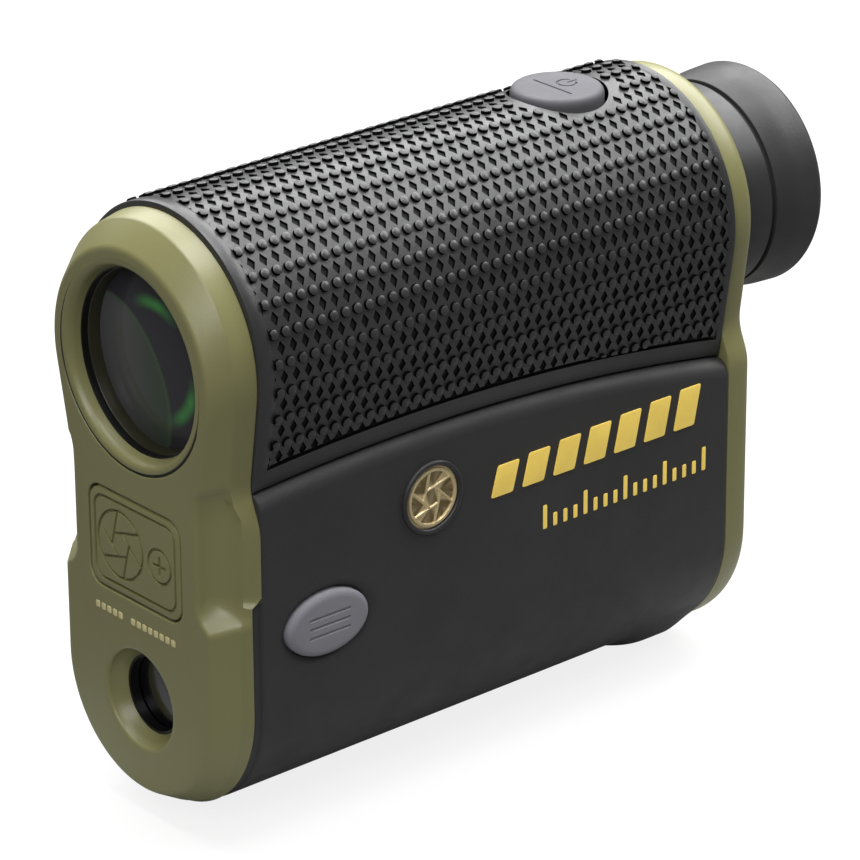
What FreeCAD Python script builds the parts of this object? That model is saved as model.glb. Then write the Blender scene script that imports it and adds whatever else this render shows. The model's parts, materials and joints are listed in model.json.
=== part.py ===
import FreeCAD, Part
import math
import os

import Sketcher
from FreeCAD import Placement, Rotation, Vector

# Handheld laser rangefinder: a two-lobed body with a 22 mm monocular above a laser transmitter.
# Working frame of every sub-part: y = 0 on the front face and growing towards the eyepiece,
# z = 0 on the axis of the upper lobe, +X on the side that carries the mode button.
# Each sub-part's Placement then moves it to the row frame: origin on the ground under the middle.

doc = FreeCAD.newDocument("laser_rangefinder")

DIMENSIONS = {
    # whole instrument
    "overall_length": 96.5,
    "axis_height": 57.8,
    "lobe_radius": 16.4,
    "lobe_drop": 40.3,
    "front_joint": 5.6,
    "rear_joint": 80.2,
    "rear_face": 82.3,
    "optic_drop": 1.0,
    # chassis
    "chassis_front": 6.0,
    "chassis_rear": 79.7,
    "chassis_upper_radius": 14.9,
    "chassis_lower_radius": 14.6,
    "chassis_waist_half": 13.2,
    "chassis_waist_end": 21.0,
    "chassis_wall": 1.3,
    "bulkhead_depth": 2.6,
    "boss_radius": 2.0,
    "boss_length": 9.7,
    # armour
    "armour_radius": 17.1,
    "field_radius": 16.85,
    "field_margin": 2.8,
    "taper_angle": 9.0,
    "arch_radius": 264.0,
    "arch_apex_y": 30.0,
    "arch_drop": 12.3,
    "arch_gap": 0.06,
    "shoulder_round": 2.0,
    "lip_forward": 1.4,
    "lip_radius": 16.15,
    "lip_inner": 14.8,
    "lip_drop": 26.4,
    "keel_flat_drop": 56.2,
    # front bezel
    "band_depth": 2.8,
    "band_inset": 0.55,
    "face_upper_radius": 14.2,
    "face_upper_drop": 1.3,
    "face_lower_radius": 13.1,
    "face_lower_drop": 41.4,
    "scoop_radius": 5.1,
    "scoop_forward": 1.3,
    "scoop_top": 13.4,
    "scoop_bottom": 28.6,
    # objective
    "ring_radius": 13.0,
    "ring_depth": 3.2,
    "ring_lip_radius": 11.8,
    "cell_radius": 12.55,
    "cell_length": 20.0,
    "glass_radius": 11.4,
    "clear_radius": 10.9,
    # laser transmitter
    "laser_drop": 43.1,
    "laser_chamfer_radius": 6.1,
    "laser_bore_radius": 4.9,
    "sleeve_radius": 5.6,
    "sleeve_length": 23.6,
    "window_radius": 4.85,
    # front inlay
    "inlay_half_width": 8.7,
    "inlay_height": 12.9,
    "inlay_drop": 24.2,
    "inlay_corner": 2.3,
    "inlay_depth": 0.9,
    "inlay_recess": 0.25,
    # eyepiece
    "collar_radius": 13.1,
    "collar_rear": 89.2,
    "neck_radius": 12.3,
    "neck_bore": 10.6,
    "focus_bore": 11.4,
    "focus_skirt_radius": 11.95,
    "focus_radius": 12.9,
    "eyecup_radius": 13.7,
    "running_gap": 0.05,
    "cell_flange_gap": 0.1,
    # power button
    "power_y": 65.2,
    "power_radius": 5.7,
    "power_hole_radius": 6.2,
    "power_top": 17.2,
    "seat_height": 13.9,
    "stem_radius": 1.5,
    # mode button
    "mode_y": 15.1,
    "mode_drop": 31.9,
    "mode_half_length": 6.0,
    "mode_half_height": 3.95,
    "mode_face": 17.0,
    "mode_moat": 0.15,
    "mode_stem_radius": 1.4,
    # badge
    "badge_y": 31.1,
    "badge_drop": 20.9,
    "badge_radius": 4.6,
    "badge_disc_radius": 3.9,
    "badge_floor": 16.05,
    # battery
    "battery_drop": 34.0,
    "battery_radius": 7.8,
    "battery_front": 50.5,
    "battery_length": 27.0,
    "tube_radius": 9.8,
    "tube_bore": 8.1,
    "plug_radius": 8.8,
    "cap_radius": 9.6,
    "cap_front": 81.0,
    "cap_rear": 83.4,
    "tab_radius": 6.8,
    "tab_thickness": 1.1,
    "tab_pin_radius": 0.5,
    # lanyard boss under the body
    "lanyard_y": 72.5,
    "lanyard_boss_length": 12.0,
    "lanyard_boss_half_width": 9.0,
    "lanyard_notch_length": 5.0,
    "lanyard_notch_half_width": 3.2,
    "lanyard_bar_radius": 0.7,
    # rear screws
    "screw_radius": 0.98,
    "screw_head_radius": 1.9,
    "upper_screw_x": 11.0,
    "upper_screw_drop": 18.5,
    "lower_screw_x": 9.0,
    "lower_screw_drop": 49.0,
    # boards
    "board_x": 11.2,
    "board_thickness": 1.2,
}


class Size:
    """A length: its present value, and the expression that follows the sheet."""

    def __init__(self, value, text):
        self.value = value
        self.text = text

    def __add__(self, other):
        other = as_size(other)
        return Size(self.value + other.value, f"({self.text} + {other.text})")

    def __radd__(self, other):
        return as_size(other) + self

    def __sub__(self, other):
        other = as_size(other)
        return Size(self.value - other.value, f"({self.text} - {other.text})")

    def __rsub__(self, other):
        return as_size(other) - self

    def __mul__(self, factor):
        return Size(self.value * factor, f"({self.text} * {factor})")

    def __truediv__(self, factor):
        return Size(self.value / factor, f"({self.text} / {factor})")

    def __neg__(self):
        return Size(-self.value, f"(0 - {self.text})")


def as_size(value):
    if isinstance(value, Size):
        return value
    return Size(float(value), repr(float(value)))


class Sheet:
    """The driving dimensions, each readable as a Size attribute."""

    def __init__(self, dimensions):
        self.object = doc.addObject("Spreadsheet::Sheet", "Dimensions")
        for row, (alias, value) in enumerate(dimensions.items(), start=1):
            self.object.set(f"A{row}", alias)
            self.object.set(f"B{row}", str(value))
            self.object.setAlias(f"B{row}", alias)
            setattr(self, alias, Size(value, f"Dimensions.{alias}"))
        doc.recompute()


dim = Sheet(DIMENSIONS)
subparts = []
places = {}


# ---------------------------------------------------------------- helpers


def bind(obj, prop, size):
    """Gives a property its value and ties it to the sheet."""
    obj.setExpression(prop, as_size(size).text)


def locate(obj, x=0, y=0, z=0, turn=None):
    """Places an object in the working frame, with every coordinate tied to the sheet."""
    x, y, z = as_size(x), as_size(y), as_size(z)
    places[obj.Name] = (x, y, z, turn)
    obj.Placement = Placement(Vector(x.value, y.value, z.value), turn or Rotation())
    for axis, size in (("x", x), ("y", y), ("z", z)):
        bind(obj, f"Placement.Base.{axis}", size)


def subpart(obj, label, x=0, y=0, z=0):
    """Registers a finished sub-part and moves it from the working frame to the row frame."""
    obj.Label = label
    own_x, own_y, own_z, turn = places.get(obj.Name, (0, 0, 0, None))
    locate(obj, own_x + x, own_y + y - dim.overall_length / 2, own_z + z + dim.axis_height, turn)
    subparts.append(obj)
    return obj


ALONG_X = Rotation(Vector(0, 1, 0), 90)
ALONG_Y = Rotation(Vector(1, 0, 0), -90)


def rod_y(name, radius, start, end, x=0, z=0):
    """A cylinder along Y between two stations."""
    obj = doc.addObject("Part::Cylinder", name)
    bind(obj, "Radius", radius)
    bind(obj, "Height", as_size(end) - start)
    locate(obj, x, start, z, ALONG_Y)
    return obj


def rod_x(name, radius, start, end, y=0, z=0):
    """A cylinder along X between two stations."""
    obj = doc.addObject("Part::Cylinder", name)
    bind(obj, "Radius", radius)
    bind(obj, "Height", as_size(end) - start)
    locate(obj, start, y, z, ALONG_X)
    return obj


def rod_z(name, radius, start, end, x=0, y=0):
    """A cylinder along Z between two stations."""
    obj = doc.addObject("Part::Cylinder", name)
    bind(obj, "Radius", radius)
    bind(obj, "Height", as_size(end) - start)
    locate(obj, x, y, start)
    return obj


def block(name, x0, x1, y0, y1, z0, z1):
    """A box between two corners."""
    obj = doc.addObject("Part::Box", name)
    bind(obj, "Length", as_size(x1) - x0)
    bind(obj, "Width", as_size(y1) - y0)
    bind(obj, "Height", as_size(z1) - z0)
    locate(obj, x0, y0, z0)
    return obj


def fuse(name, shapes):
    obj = doc.addObject("Part::MultiFuse", name)
    obj.Shapes = shapes
    return obj


def common(name, shapes):
    obj = doc.addObject("Part::MultiCommon", name)
    obj.Shapes = shapes
    return obj


def check_states():
    """Stops if a recompute left anything failed."""
    failed = [o.Name for o in doc.Objects if "Invalid" in o.State or "Error" in o.State]
    if failed:
        raise RuntimeError(f"failed objects: {failed}")


def cut(name, base, tools):
    """The base with every tool taken away; the volume has to fall."""
    obj = doc.addObject("Part::Cut", name)
    obj.Base = base
    obj.Tool = tools[0] if len(tools) == 1 else fuse(name + "_tools", tools)
    doc.recompute()
    check_states()
    if not obj.Shape.Volume < base.Shape.Volume - 1e-6:
        raise RuntimeError(f"{name} removed nothing")
    return obj


def fillet(name, base, radius, chosen):
    """Rounds the edges for which chosen(edge) is true."""
    doc.recompute()
    edges = [i for i, e in enumerate(base.Shape.Edges, start=1) if chosen(e)]
    if not edges:
        raise RuntimeError(f"{name} found no edge")
    obj = doc.addObject("Part::Fillet", name)
    obj.Base = base
    obj.Edges = [(i, as_size(radius).value, as_size(radius).value) for i in edges]
    return obj


def plane_of(body, role):
    return next(f for f in body.Origin.OriginFeatures if f.Role == role)


def new_sketch(body, name, role, offset=0):
    """A sketch on one of the body's own origin planes, moved along the plane's normal."""
    sketch = body.newObject("Sketcher::SketchObject", name)
    sketch.AttachmentSupport = [(plane_of(body, role), "")]
    sketch.MapMode = "FlatFace"
    bind(sketch, "AttachmentOffset.Base.z", offset)
    return sketch


def pin_coordinate(sketch, kind, geometry, end, size):
    """Fixes one coordinate of a sketch point; kind is DistanceX or DistanceY."""
    size = as_size(size)
    if abs(size.value) < 1e-9:
        axis = -2 if kind == "DistanceX" else -1
        sketch.addConstraint(Sketcher.Constraint("PointOnObject", geometry, end, axis))
        return
    i = sketch.addConstraint(Sketcher.Constraint(kind, -1, 1, geometry, end, size.value))
    sketch.setExpression(f"Constraints[{i}]", size.text)


def pin_point(sketch, geometry, end, u, v):
    """Fixes a sketch point by its two coordinates."""
    pin_coordinate(sketch, "DistanceX", geometry, end, u)
    pin_coordinate(sketch, "DistanceY", geometry, end, v)


def draw_polygon(sketch, points):
    """A closed polygon whose corners are all tied to the sheet."""
    corners = [(as_size(u), as_size(v)) for u, v in points]
    for i, (u, v) in enumerate(corners):
        u2, v2 = corners[(i + 1) % len(corners)]
        sketch.addGeometry(
            Part.LineSegment(Vector(u.value, v.value, 0), Vector(u2.value, v2.value, 0))
        )
    for i, (u, v) in enumerate(corners):
        before = (i - 1) % len(corners)
        sketch.addConstraint(Sketcher.Constraint("Coincident", before, 2, i, 1))
        pin_point(sketch, i, 1, u, v)


# axis letter: sketch plane, and which sketch axis the profile turns about
TURNING = {"X": ("XY_Plane", "H_Axis"), "Y": ("XY_Plane", "V_Axis"), "Z": ("XZ_Plane", "V_Axis")}


def turned(name, axis, points):
    """A solid of revolution. Points are (radius, station), or (station, radius) about X."""
    body = doc.addObject("PartDesign::Body", name)
    role, line = TURNING[axis]
    sketch = new_sketch(body, name + "_profile", role)
    draw_polygon(sketch, points)
    turn = body.newObject("PartDesign::Revolution", name + "_turn")
    turn.Profile = sketch
    turn.ReferenceAxis = (sketch, [line])
    turn.Angle = 360
    return body


def ring(name, axis, inner, outer, start, end):
    """A plain ring or, with an inner radius of zero, a disc."""
    corners = [(inner, start), (outer, start), (outer, end), (inner, end)]
    if axis == "X":
        corners = [(station, radius) for radius, station in corners]
    return turned(name, axis, corners)


def o_ring(name, radius, section, y, z=0):
    obj = doc.addObject("Part::Torus", name)
    bind(obj, "Radius1", radius)
    bind(obj, "Radius2", section)
    locate(obj, 0, y, z, ALONG_Y)
    return obj


def lobed_block(name, inset, start, end):
    """The chassis outline, moved inwards by inset, between two stations."""
    drop = dim.lobe_drop
    waist = dim.chassis_waist_half - inset
    lower = dim.chassis_lower_radius - inset
    return fuse(
        name,
        [
            rod_y(name + "_upper", dim.chassis_upper_radius - inset, start, end),
            rod_y(name + "_lower", lower, start, end, z=-drop),
            block(name + "_waist", -waist, waist, start, end, -drop, 0),
            block(name + "_side", -lower, lower, start, end, -drop, -dim.chassis_waist_end - inset),
        ],
    )


def tangent_angle(radius, centre_z, x, z):
    """Angle on a circle at which the tangent passes through an outside point on its right."""
    away = math.hypot(x, z - centre_z)
    return math.atan2(z - centre_z, x) + math.acos(radius / away)


def lobed_sketch(body, name, y, top, waist, shoulder, bottom):
    """A section of the outer skin: two arcs joined by sides that pull in at the waist.

    top and bottom are (radius, drop of the centre); waist and shoulder are (half width, drop)."""
    sketch = new_sketch(body, name, "XZ_Plane", -as_size(y))
    top_r, top_drop = as_size(top[0]), as_size(top[1])
    low_r, low_drop = as_size(bottom[0]), as_size(bottom[1])
    waist_x, waist_drop = as_size(waist[0]), as_size(waist[1])
    side_x, side_drop = as_size(shoulder[0]), as_size(shoulder[1])
    lean = tangent_angle(top_r.value, -top_drop.value, waist_x.value, -waist_drop.value)
    top_arc = Part.ArcOfCircle(
        Part.Circle(Vector(0, -top_drop.value, 0), Vector(0, 0, 1), top_r.value),
        lean,
        math.pi - lean,
    )
    low_arc = Part.ArcOfCircle(
        Part.Circle(Vector(0, -low_drop.value, 0), Vector(0, 0, 1), low_r.value),
        math.pi,
        2 * math.pi,
    )
    sketch.addGeometry(top_arc)
    sketch.addGeometry(low_arc)
    for side in (-1, 1):
        arc_end = Vector(
            side * top_r.value * math.cos(lean), top_r.value * math.sin(lean) - top_drop.value, 0
        )
        corners = [
            arc_end,
            Vector(side * waist_x.value, -waist_drop.value, 0),
            Vector(side * side_x.value, -side_drop.value, 0),
            Vector(side * low_r.value, -low_drop.value, 0),
        ]
        for a, b in zip(corners, corners[1:]):
            sketch.addGeometry(Part.LineSegment(a, b))
    # geometry: 0 top arc, 1 bottom arc, 2-4 left side downwards, 5-7 right side downwards
    pin_point(sketch, 0, 3, 0, -top_drop)
    pin_point(sketch, 1, 3, 0, -low_drop)
    for arc, radius in ((0, top_r), (1, low_r)):
        i = sketch.addConstraint(Sketcher.Constraint("Radius", arc, radius.value))
        sketch.setExpression(f"Constraints[{i}]", radius.text)
    for first, sign, top_end, low_end in ((2, -1, 2, 1), (5, 1, 1, 2)):
        sketch.addConstraint(Sketcher.Constraint("Tangent", 0, top_end, first, 1))
        for line in (first, first + 1):
            sketch.addConstraint(Sketcher.Constraint("Coincident", line, 2, line + 1, 1))
        sketch.addConstraint(Sketcher.Constraint("Coincident", first + 2, 2, 1, low_end))
        pin_point(sketch, first, 2, waist_x * sign, -waist_drop)
        pin_point(sketch, first + 1, 2, side_x * sign, -side_drop)
        pin_coordinate(sketch, "DistanceY", 1, low_end, -low_drop)
    return sketch


def lofted(name, sections):
    """A body lofted straight through sections, each given as lobed_sketch's arguments."""
    body = doc.addObject("PartDesign::Body", name)
    sketches = [
        lobed_sketch(body, f"{name}_section_{i}", *section) for i, section in enumerate(sections)
    ]
    loft = body.newObject("PartDesign::AdditiveLoft", name + "_loft")
    loft.Profile = sketches[0]
    loft.Sections = sketches[1:]
    loft.Ruled = True
    return body


def rounded_plate(name, half_width, height, corner, start, end, drop):
    """A plate in the XZ plane with rounded corners, between two stations along Y."""
    half = as_size(height) / 2
    plate = block(
        name + "_blank", -as_size(half_width), half_width, start, end, -drop - half, -drop + half
    )
    return fillet(name, plate, corner, lambda e: is_along(e, Vector(0, 1, 0)))


def is_along(edge, direction):
    """True for a straight edge parallel to a direction."""
    if not isinstance(edge.Curve, Part.Line):
        return False
    return abs(abs(edge.Curve.Direction.dot(direction)) - 1) < 1e-6


def ellipse_rod(name, half_y, half_z, start, end, y, z):
    """An elliptical prism along X."""
    half_y, half_z = as_size(half_y), as_size(half_z)
    body = doc.addObject("PartDesign::Body", name)
    sketch = new_sketch(body, name + "_outline", "YZ_Plane", start)
    sketch.addGeometry(Part.Ellipse(Vector(0, 0, 0), half_y.value, half_z.value))
    sketch.exposeInternalGeometry(0)
    sketch.addConstraint(Sketcher.Constraint("Coincident", 0, 3, -1, 1))
    sketch.addConstraint(Sketcher.Constraint("Horizontal", 1))
    for line, size in ((1, half_y), (2, half_z)):
        i = sketch.addConstraint(Sketcher.Constraint("Distance", line, size.value * 2))
        sketch.setExpression(f"Constraints[{i}]", (size * 2).text)
    pad = body.newObject("PartDesign::Pad", name + "_pad")
    pad.Profile = sketch
    bind(pad, "Length", as_size(end) - start)
    locate(body, 0, y, z)
    return body


# ---------------------------------------------------------------- casing


def make_chassis():
    """Inner tube with a front bulkhead, an open rear, four screw bosses and two button seats."""
    front, rear = dim.chassis_front, dim.chassis_rear
    inner_front = front + dim.bulkhead_depth
    outer = lobed_block("chassis_outer", 0, front, rear)
    cavity = lobed_block("chassis_cavity", dim.chassis_wall, inner_front, rear + 1)
    shell = cut("chassis_shell", outer, [cavity])
    boss_front = rear - dim.boss_length
    bosses = [
        rod_y(f"boss_{i}", dim.boss_radius, boss_front, rear, x, z)
        for i, (x, z) in enumerate(screw_places())
    ]
    turret = common(
        "turret",
        [outer, rod_z("turret_rod", dim.power_radius + 1.3, 12.2, dim.seat_height, y=dim.power_y)],
    )
    rib = block("tube_saddle", -5, 5, 60, 66, -dim.lobe_drop - 13.6, -dim.battery_drop - 9.2)
    solid = fuse("chassis_solid", [shell, turret, rib] + bosses)
    holes = [
        rod_y("cell_bore", dim.cell_radius + 0.05, front - 1, inner_front + 1, z=-dim.optic_drop),
        rod_y("sleeve_bore", dim.sleeve_radius + 0.05, front - 1, inner_front + 1, z=-dim.laser_drop),
        rod_z("power_seat_cut", dim.power_hole_radius, dim.seat_height, 20, y=dim.power_y),
        rod_z("power_stem_bore", dim.stem_radius + dim.running_gap, 8, 15, y=dim.power_y),
        rod_x("mode_stem_bore", dim.mode_stem_radius + dim.running_gap, 10, 16, dim.mode_y, -dim.mode_drop),
        rod_y("saddle_cut", dim.tube_radius, 50, 79, z=-dim.battery_drop),
    ]
    holes += [
        rod_y(f"boss_bore_{i}", dim.screw_radius + 0.02, boss_front + 1, rear + 1, x, z)
        for i, (x, z) in enumerate(screw_places())
    ]
    return subpart(cut("chassis", solid, holes), "chassis")


def screw_places():
    """Centres of the four rear screws."""
    upper = [(dim.upper_screw_x, -dim.upper_screw_drop), (-dim.upper_screw_x, -dim.upper_screw_drop)]
    lower = [(dim.lower_screw_x, -dim.lower_screw_drop), (-dim.lower_screw_x, -dim.lower_screw_drop)]
    return upper + lower


def arch(name, gap):
    """The long cylinder whose top is the arched line between the two armours."""
    return rod_x(
        name, dim.arch_radius + gap, -30, 30, dim.arch_apex_y, -dim.arch_drop - dim.arch_radius
    )


def sleeve_block(name, radius, start, end):
    """The upper lobe as a solid: an arc over the top whose sides lean in to the waist."""
    radius = as_size(radius)
    lean = math.radians(dim.taper_angle.value)
    foot_drop = 20.0
    foot_half = (radius - foot_drop * math.sin(lean)) / math.cos(lean)
    body = doc.addObject("PartDesign::Body", name)
    sketch = new_sketch(body, name + "_section", "XZ_Plane", -as_size(start))
    end_x = radius.value * math.cos(lean)
    end_z = -radius.value * math.sin(lean)
    corners = [
        Vector(end_x, end_z, 0),
        Vector(foot_half.value, -foot_drop, 0),
        Vector(-foot_half.value, -foot_drop, 0),
        Vector(-end_x, end_z, 0),
    ]
    circle = Part.Circle(Vector(0, 0, 0), Vector(0, 0, 1), radius.value)
    sketch.addGeometry(Part.ArcOfCircle(circle, -lean, math.pi + lean))
    for a, b in zip(corners, corners[1:]):
        sketch.addGeometry(Part.LineSegment(a, b))
    sketch.addConstraint(Sketcher.Constraint("Coincident", 0, 3, -1, 1))
    i = sketch.addConstraint(Sketcher.Constraint("Radius", 0, radius.value))
    sketch.setExpression(f"Constraints[{i}]", radius.text)
    sketch.addConstraint(Sketcher.Constraint("Tangent", 0, 1, 1, 1))
    sketch.addConstraint(Sketcher.Constraint("Tangent", 0, 2, 3, 2))
    sketch.addConstraint(Sketcher.Constraint("Coincident", 1, 2, 2, 1))
    sketch.addConstraint(Sketcher.Constraint("Coincident", 2, 2, 3, 1))
    pin_point(sketch, 1, 2, foot_half, -foot_drop)
    pin_point(sketch, 2, 2, -foot_half, -foot_drop)
    pad = body.newObject("PartDesign::Pad", name + "_pad")
    pad.Profile = sketch
    pad.Reversed = True
    bind(pad, "Length", as_size(end) - start)
    return body


def make_upper_armour():
    """Rubber sleeve over the monocular, with a smooth border round a recessed grip field."""
    front, rear = dim.front_joint, dim.rear_joint
    field_front = front + dim.field_margin
    field_rear = rear - dim.field_margin
    field = cut(
        "field_recess",
        rod_y("field_outer", 25, field_front, field_rear),
        [
            sleeve_block("field_inner", dim.field_radius, field_front - 1, field_rear + 1),
            arch("field_edge", dim.field_margin),
        ],
    )
    tools = [
        lobed_block("sleeve_cavity", 0, front - 1, rear + 1),
        arch("sleeve_arch", dim.arch_gap),
        rod_z("power_hole", dim.power_hole_radius, 10, 20, y=dim.power_y),
        field,
    ]
    sleeve = sleeve_block("sleeve", dim.armour_radius, front, rear)
    return subpart(cut("upper_armour", sleeve, tools), "upper_armour")


def make_lower_armour():
    """Smooth shell over the transmitter and battery, with the button and badge openings."""
    front, rear = dim.front_joint, dim.rear_joint
    side, drop = dim.lobe_radius, dim.lobe_drop
    outline = fuse(
        "keel_outline",
        [
            block("keel_sides", -side, side, front, rear, -drop, -8),
            rod_y("keel_round", side, front, rear, z=-drop),
        ],
    )
    arched = common("keel_arched", [outline, arch("keel_arch", 0)])
    shoulders = fillet(
        "keel_shoulders",
        arched,
        dim.shoulder_round,
        lambda e: e.BoundBox.ZMin > -19 and e.BoundBox.YLength > 50,
    )
    lip_front = front - dim.lip_forward
    lip_ring = cut(
        "lip_ring",
        lip_block("lip_outer", dim.lip_radius, lip_front, front),
        [lip_block("lip_inner", dim.lip_inner, lip_front - 1, front + 1)],
    )
    boss_half = dim.lanyard_boss_length / 2
    width = dim.lanyard_boss_half_width
    boss_start, boss_end = dim.lanyard_y - boss_half, dim.lanyard_y + boss_half
    boss = common(
        "lanyard_boss_blank",
        [
            rod_y("lanyard_boss_round", dim.axis_height - drop, boss_start, boss_end, z=-drop),
            block(
                "lanyard_boss_sides",
                -width,
                width,
                boss_start,
                boss_end,
                -dim.axis_height - 1,
                -drop - 13,
            ),
        ],
    )
    boss = fillet(
        "lanyard_boss", boss, 1.0, lambda e: e.BoundBox.ZMin < -dim.axis_height.value + 0.5
    )
    trimmed = cut("keel_trimmed", fuse("keel_skin", [shoulders, lip_ring]), [keel_flat("keel_flat")])
    solid = fuse("keel_solid", [trimmed, boss])
    notch_half = dim.lanyard_notch_length / 2
    hole_y = dim.mode_half_length + dim.mode_moat
    hole_z = dim.mode_half_height + dim.mode_moat
    tools = [
        lobed_block("keel_cavity", 0, front - 1, rear + 1),
        ellipse_rod("mode_hole", hole_y, hole_z, 10, 20, dim.mode_y, -dim.mode_drop),
        rod_x("badge_seat", dim.badge_radius, dim.badge_floor, 20, dim.badge_y, -dim.badge_drop),
        block(
            "lanyard_notch",
            -dim.lanyard_notch_half_width,
            dim.lanyard_notch_half_width,
            dim.lanyard_y - notch_half,
            dim.lanyard_y + notch_half,
            -60,
            -dim.lobe_drop - 15.3,
        ),
        lanyard_rod("lanyard_bar_bore"),
    ]
    return subpart(cut("lower_armour", solid, tools), "lower_armour")


def keel_flat(name):
    """Everything below the narrow flat that runs along the underside."""
    return block(name, -10, 10, -1, dim.rear_face + 1, -dim.axis_height - 1, -dim.keel_flat_drop)


def lip_block(name, radius, start, end):
    """Everything of the lower outline inside a radius and below the lip's upper end."""
    whole = fuse(
        name + "_whole",
        [
            block(name + "_sides", -radius, radius, start, end, -dim.lobe_drop, -dim.lip_drop),
            rod_y(name + "_round", radius, start, end, z=-dim.lobe_drop),
        ],
    )
    below = block(name + "_below", -20, 20, start, end, -dim.axis_height - 1, -dim.lip_drop)
    return common(name, [whole, below])


def lanyard_rod(name):
    half = dim.lanyard_notch_length / 2 + 1.5
    z = -dim.axis_height + dim.lanyard_bar_radius + 0.2
    return rod_y(name, dim.lanyard_bar_radius, dim.lanyard_y - half, dim.lanyard_y + half, z=z)


def skin_section(y, inset):
    """lobed_sketch's arguments for the outer skin at a station, moved inwards."""
    return (
        y,
        (dim.lobe_radius - inset, 0),
        (14.7 - inset, 13.2),
        (dim.lobe_radius - inset, 17.2),
        (dim.lobe_radius - inset, dim.lobe_drop),
    )


def make_front_bezel():
    """Olive end frame with two bevels, side scoops and bores for both optics."""
    front = dim.front_joint
    face = (
        0,
        (dim.face_upper_radius, dim.face_upper_drop),
        (12.0, 13.6),
        (dim.face_lower_radius, 18.6),
        (dim.face_lower_radius, dim.face_lower_drop),
    )
    shell = lofted(
        "bezel_blank", [face, skin_section(dim.band_depth, dim.band_inset), skin_section(front, 0)]
    )
    scoops = [
        rod_z(
            f"scoop_{side}",
            dim.scoop_radius,
            -dim.scoop_bottom,
            -dim.scoop_top,
            x=dim.lobe_radius * side,
            y=-dim.scoop_forward,
        )
        for side in (-1, 1)
    ]
    lip_front = front - dim.lip_forward
    rebate = cut(
        "bezel_rebate",
        lip_block("rebate_outer", dim.lobe_radius + 1, lip_front, front + 1),
        [lip_block("rebate_inner", dim.lip_inner, lip_front - 1, front + 2)],
    )
    z_laser = -dim.laser_drop
    mouth = turned(
        "laser_mouth",
        "Y",
        [(0, -1), (dim.laser_chamfer_radius + 0.5, -1), (dim.laser_bore_radius, 2.2), (0, 2.2)],
    )
    locate(mouth, 0, 0, z_laser)
    tools = scoops + [
        rebate,
        keel_flat("bezel_flat"),
        rod_y("ring_bore", dim.ring_radius, -1, dim.ring_depth, z=-dim.optic_drop),
        rod_y("cell_pocket", dim.cell_radius + 0.05, 1, front + 1, z=-dim.optic_drop),
        mouth,
        rod_y("sleeve_pocket", dim.sleeve_radius + 0.05, 2.2, front + 1, z=z_laser),
        rounded_plate(
            "inlay_pocket",
            dim.inlay_half_width + 0.05,
            dim.inlay_height + 0.1,
            dim.inlay_corner,
            -1,
            dim.inlay_recess + dim.inlay_depth,
            dim.inlay_drop,
        ),
    ]
    return subpart(cut("front_bezel", shell, tools), "front_bezel")


def make_front_inlay():
    """Rounded plate in the face, with a plain ring and a plus sign moulded on it."""
    start = dim.inlay_recess
    plate = rounded_plate(
        "inlay_plate",
        dim.inlay_half_width,
        dim.inlay_height,
        dim.inlay_corner,
        start,
        start + dim.inlay_depth,
        dim.inlay_drop,
    )
    centre = -dim.inlay_drop
    left, right = -3.0, 5.2
    marks = [
        rod_y("large_mark", 4.6, start, start + 0.25, x=left, z=centre),
        rod_y("small_mark", 2.7, start, start + 0.25, x=right, z=centre),
    ]
    keeps = [
        rod_y("large_mark_core", 4.1, start - 1, start + 1, x=left, z=centre),
        rod_y("small_mark_core", 2.3, start - 1, start + 1, x=right, z=centre),
    ]
    grooves = [cut(f"mark_groove_{i}", m, [k]) for i, (m, k) in enumerate(zip(marks, keeps))]
    plus = [
        block("plus_bar", right - 1.2, right + 1.2, start, start + 0.25, centre - 0.3, centre + 0.3),
        block("plus_post", right - 0.3, right + 0.3, start, start + 0.25, centre - 1.2, centre + 1.2),
    ]
    return subpart(cut("front_inlay", plate, grooves + plus), "front_inlay")


def make_rear_bezel():
    """Olive rear plate with the eyepiece bore, the battery cap's bore and four screw holes."""
    joint, rear = dim.rear_joint, dim.rear_face
    blank = lofted(
        "rear_blank",
        [skin_section(joint, 0), skin_section(joint + 0.9, 0.1), skin_section(rear, 1.0)],
    )
    tools = [
        keel_flat("rear_flat"),
        rod_y("eyepiece_bore", dim.neck_radius + 0.05, joint - 1, rear + 1, z=-dim.optic_drop),
        rod_y("cap_bore", dim.cap_radius + 0.1, joint - 1, rear + 1, z=-dim.battery_drop),
    ]
    for i, (x, z) in enumerate(screw_places()):
        tools.append(rod_y(f"rear_hole_{i}", dim.screw_radius + 0.1, joint - 1, rear + 1, x, z))
        tools.append(
            rod_y(f"rear_sink_{i}", dim.screw_head_radius + 0.1, rear - 1.3, rear + 1, x, z)
        )
    return subpart(cut("rear_bezel", blank, tools), "rear_bezel")


def make_gaskets():
    """Flat seals between the chassis and the two bezels, the rear one pierced for the screws."""
    clearances = [
        rod_y(f"gasket_hole_{i}", dim.screw_radius + 0.15, 70, 90, x, z)
        for i, (x, z) in enumerate(screw_places())
    ]
    for label, start, end, holes in (
        ("front_gasket", dim.front_joint, dim.chassis_front, []),
        ("rear_gasket", dim.chassis_rear, dim.rear_joint, clearances),
    ):
        outer = lobed_block(label + "_outer", 0, start, end)
        inner = lobed_block(label + "_inner", dim.chassis_wall, start - 1, end + 1)
        subpart(cut(label + "_ring", outer, [inner] + holes), label)


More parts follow.
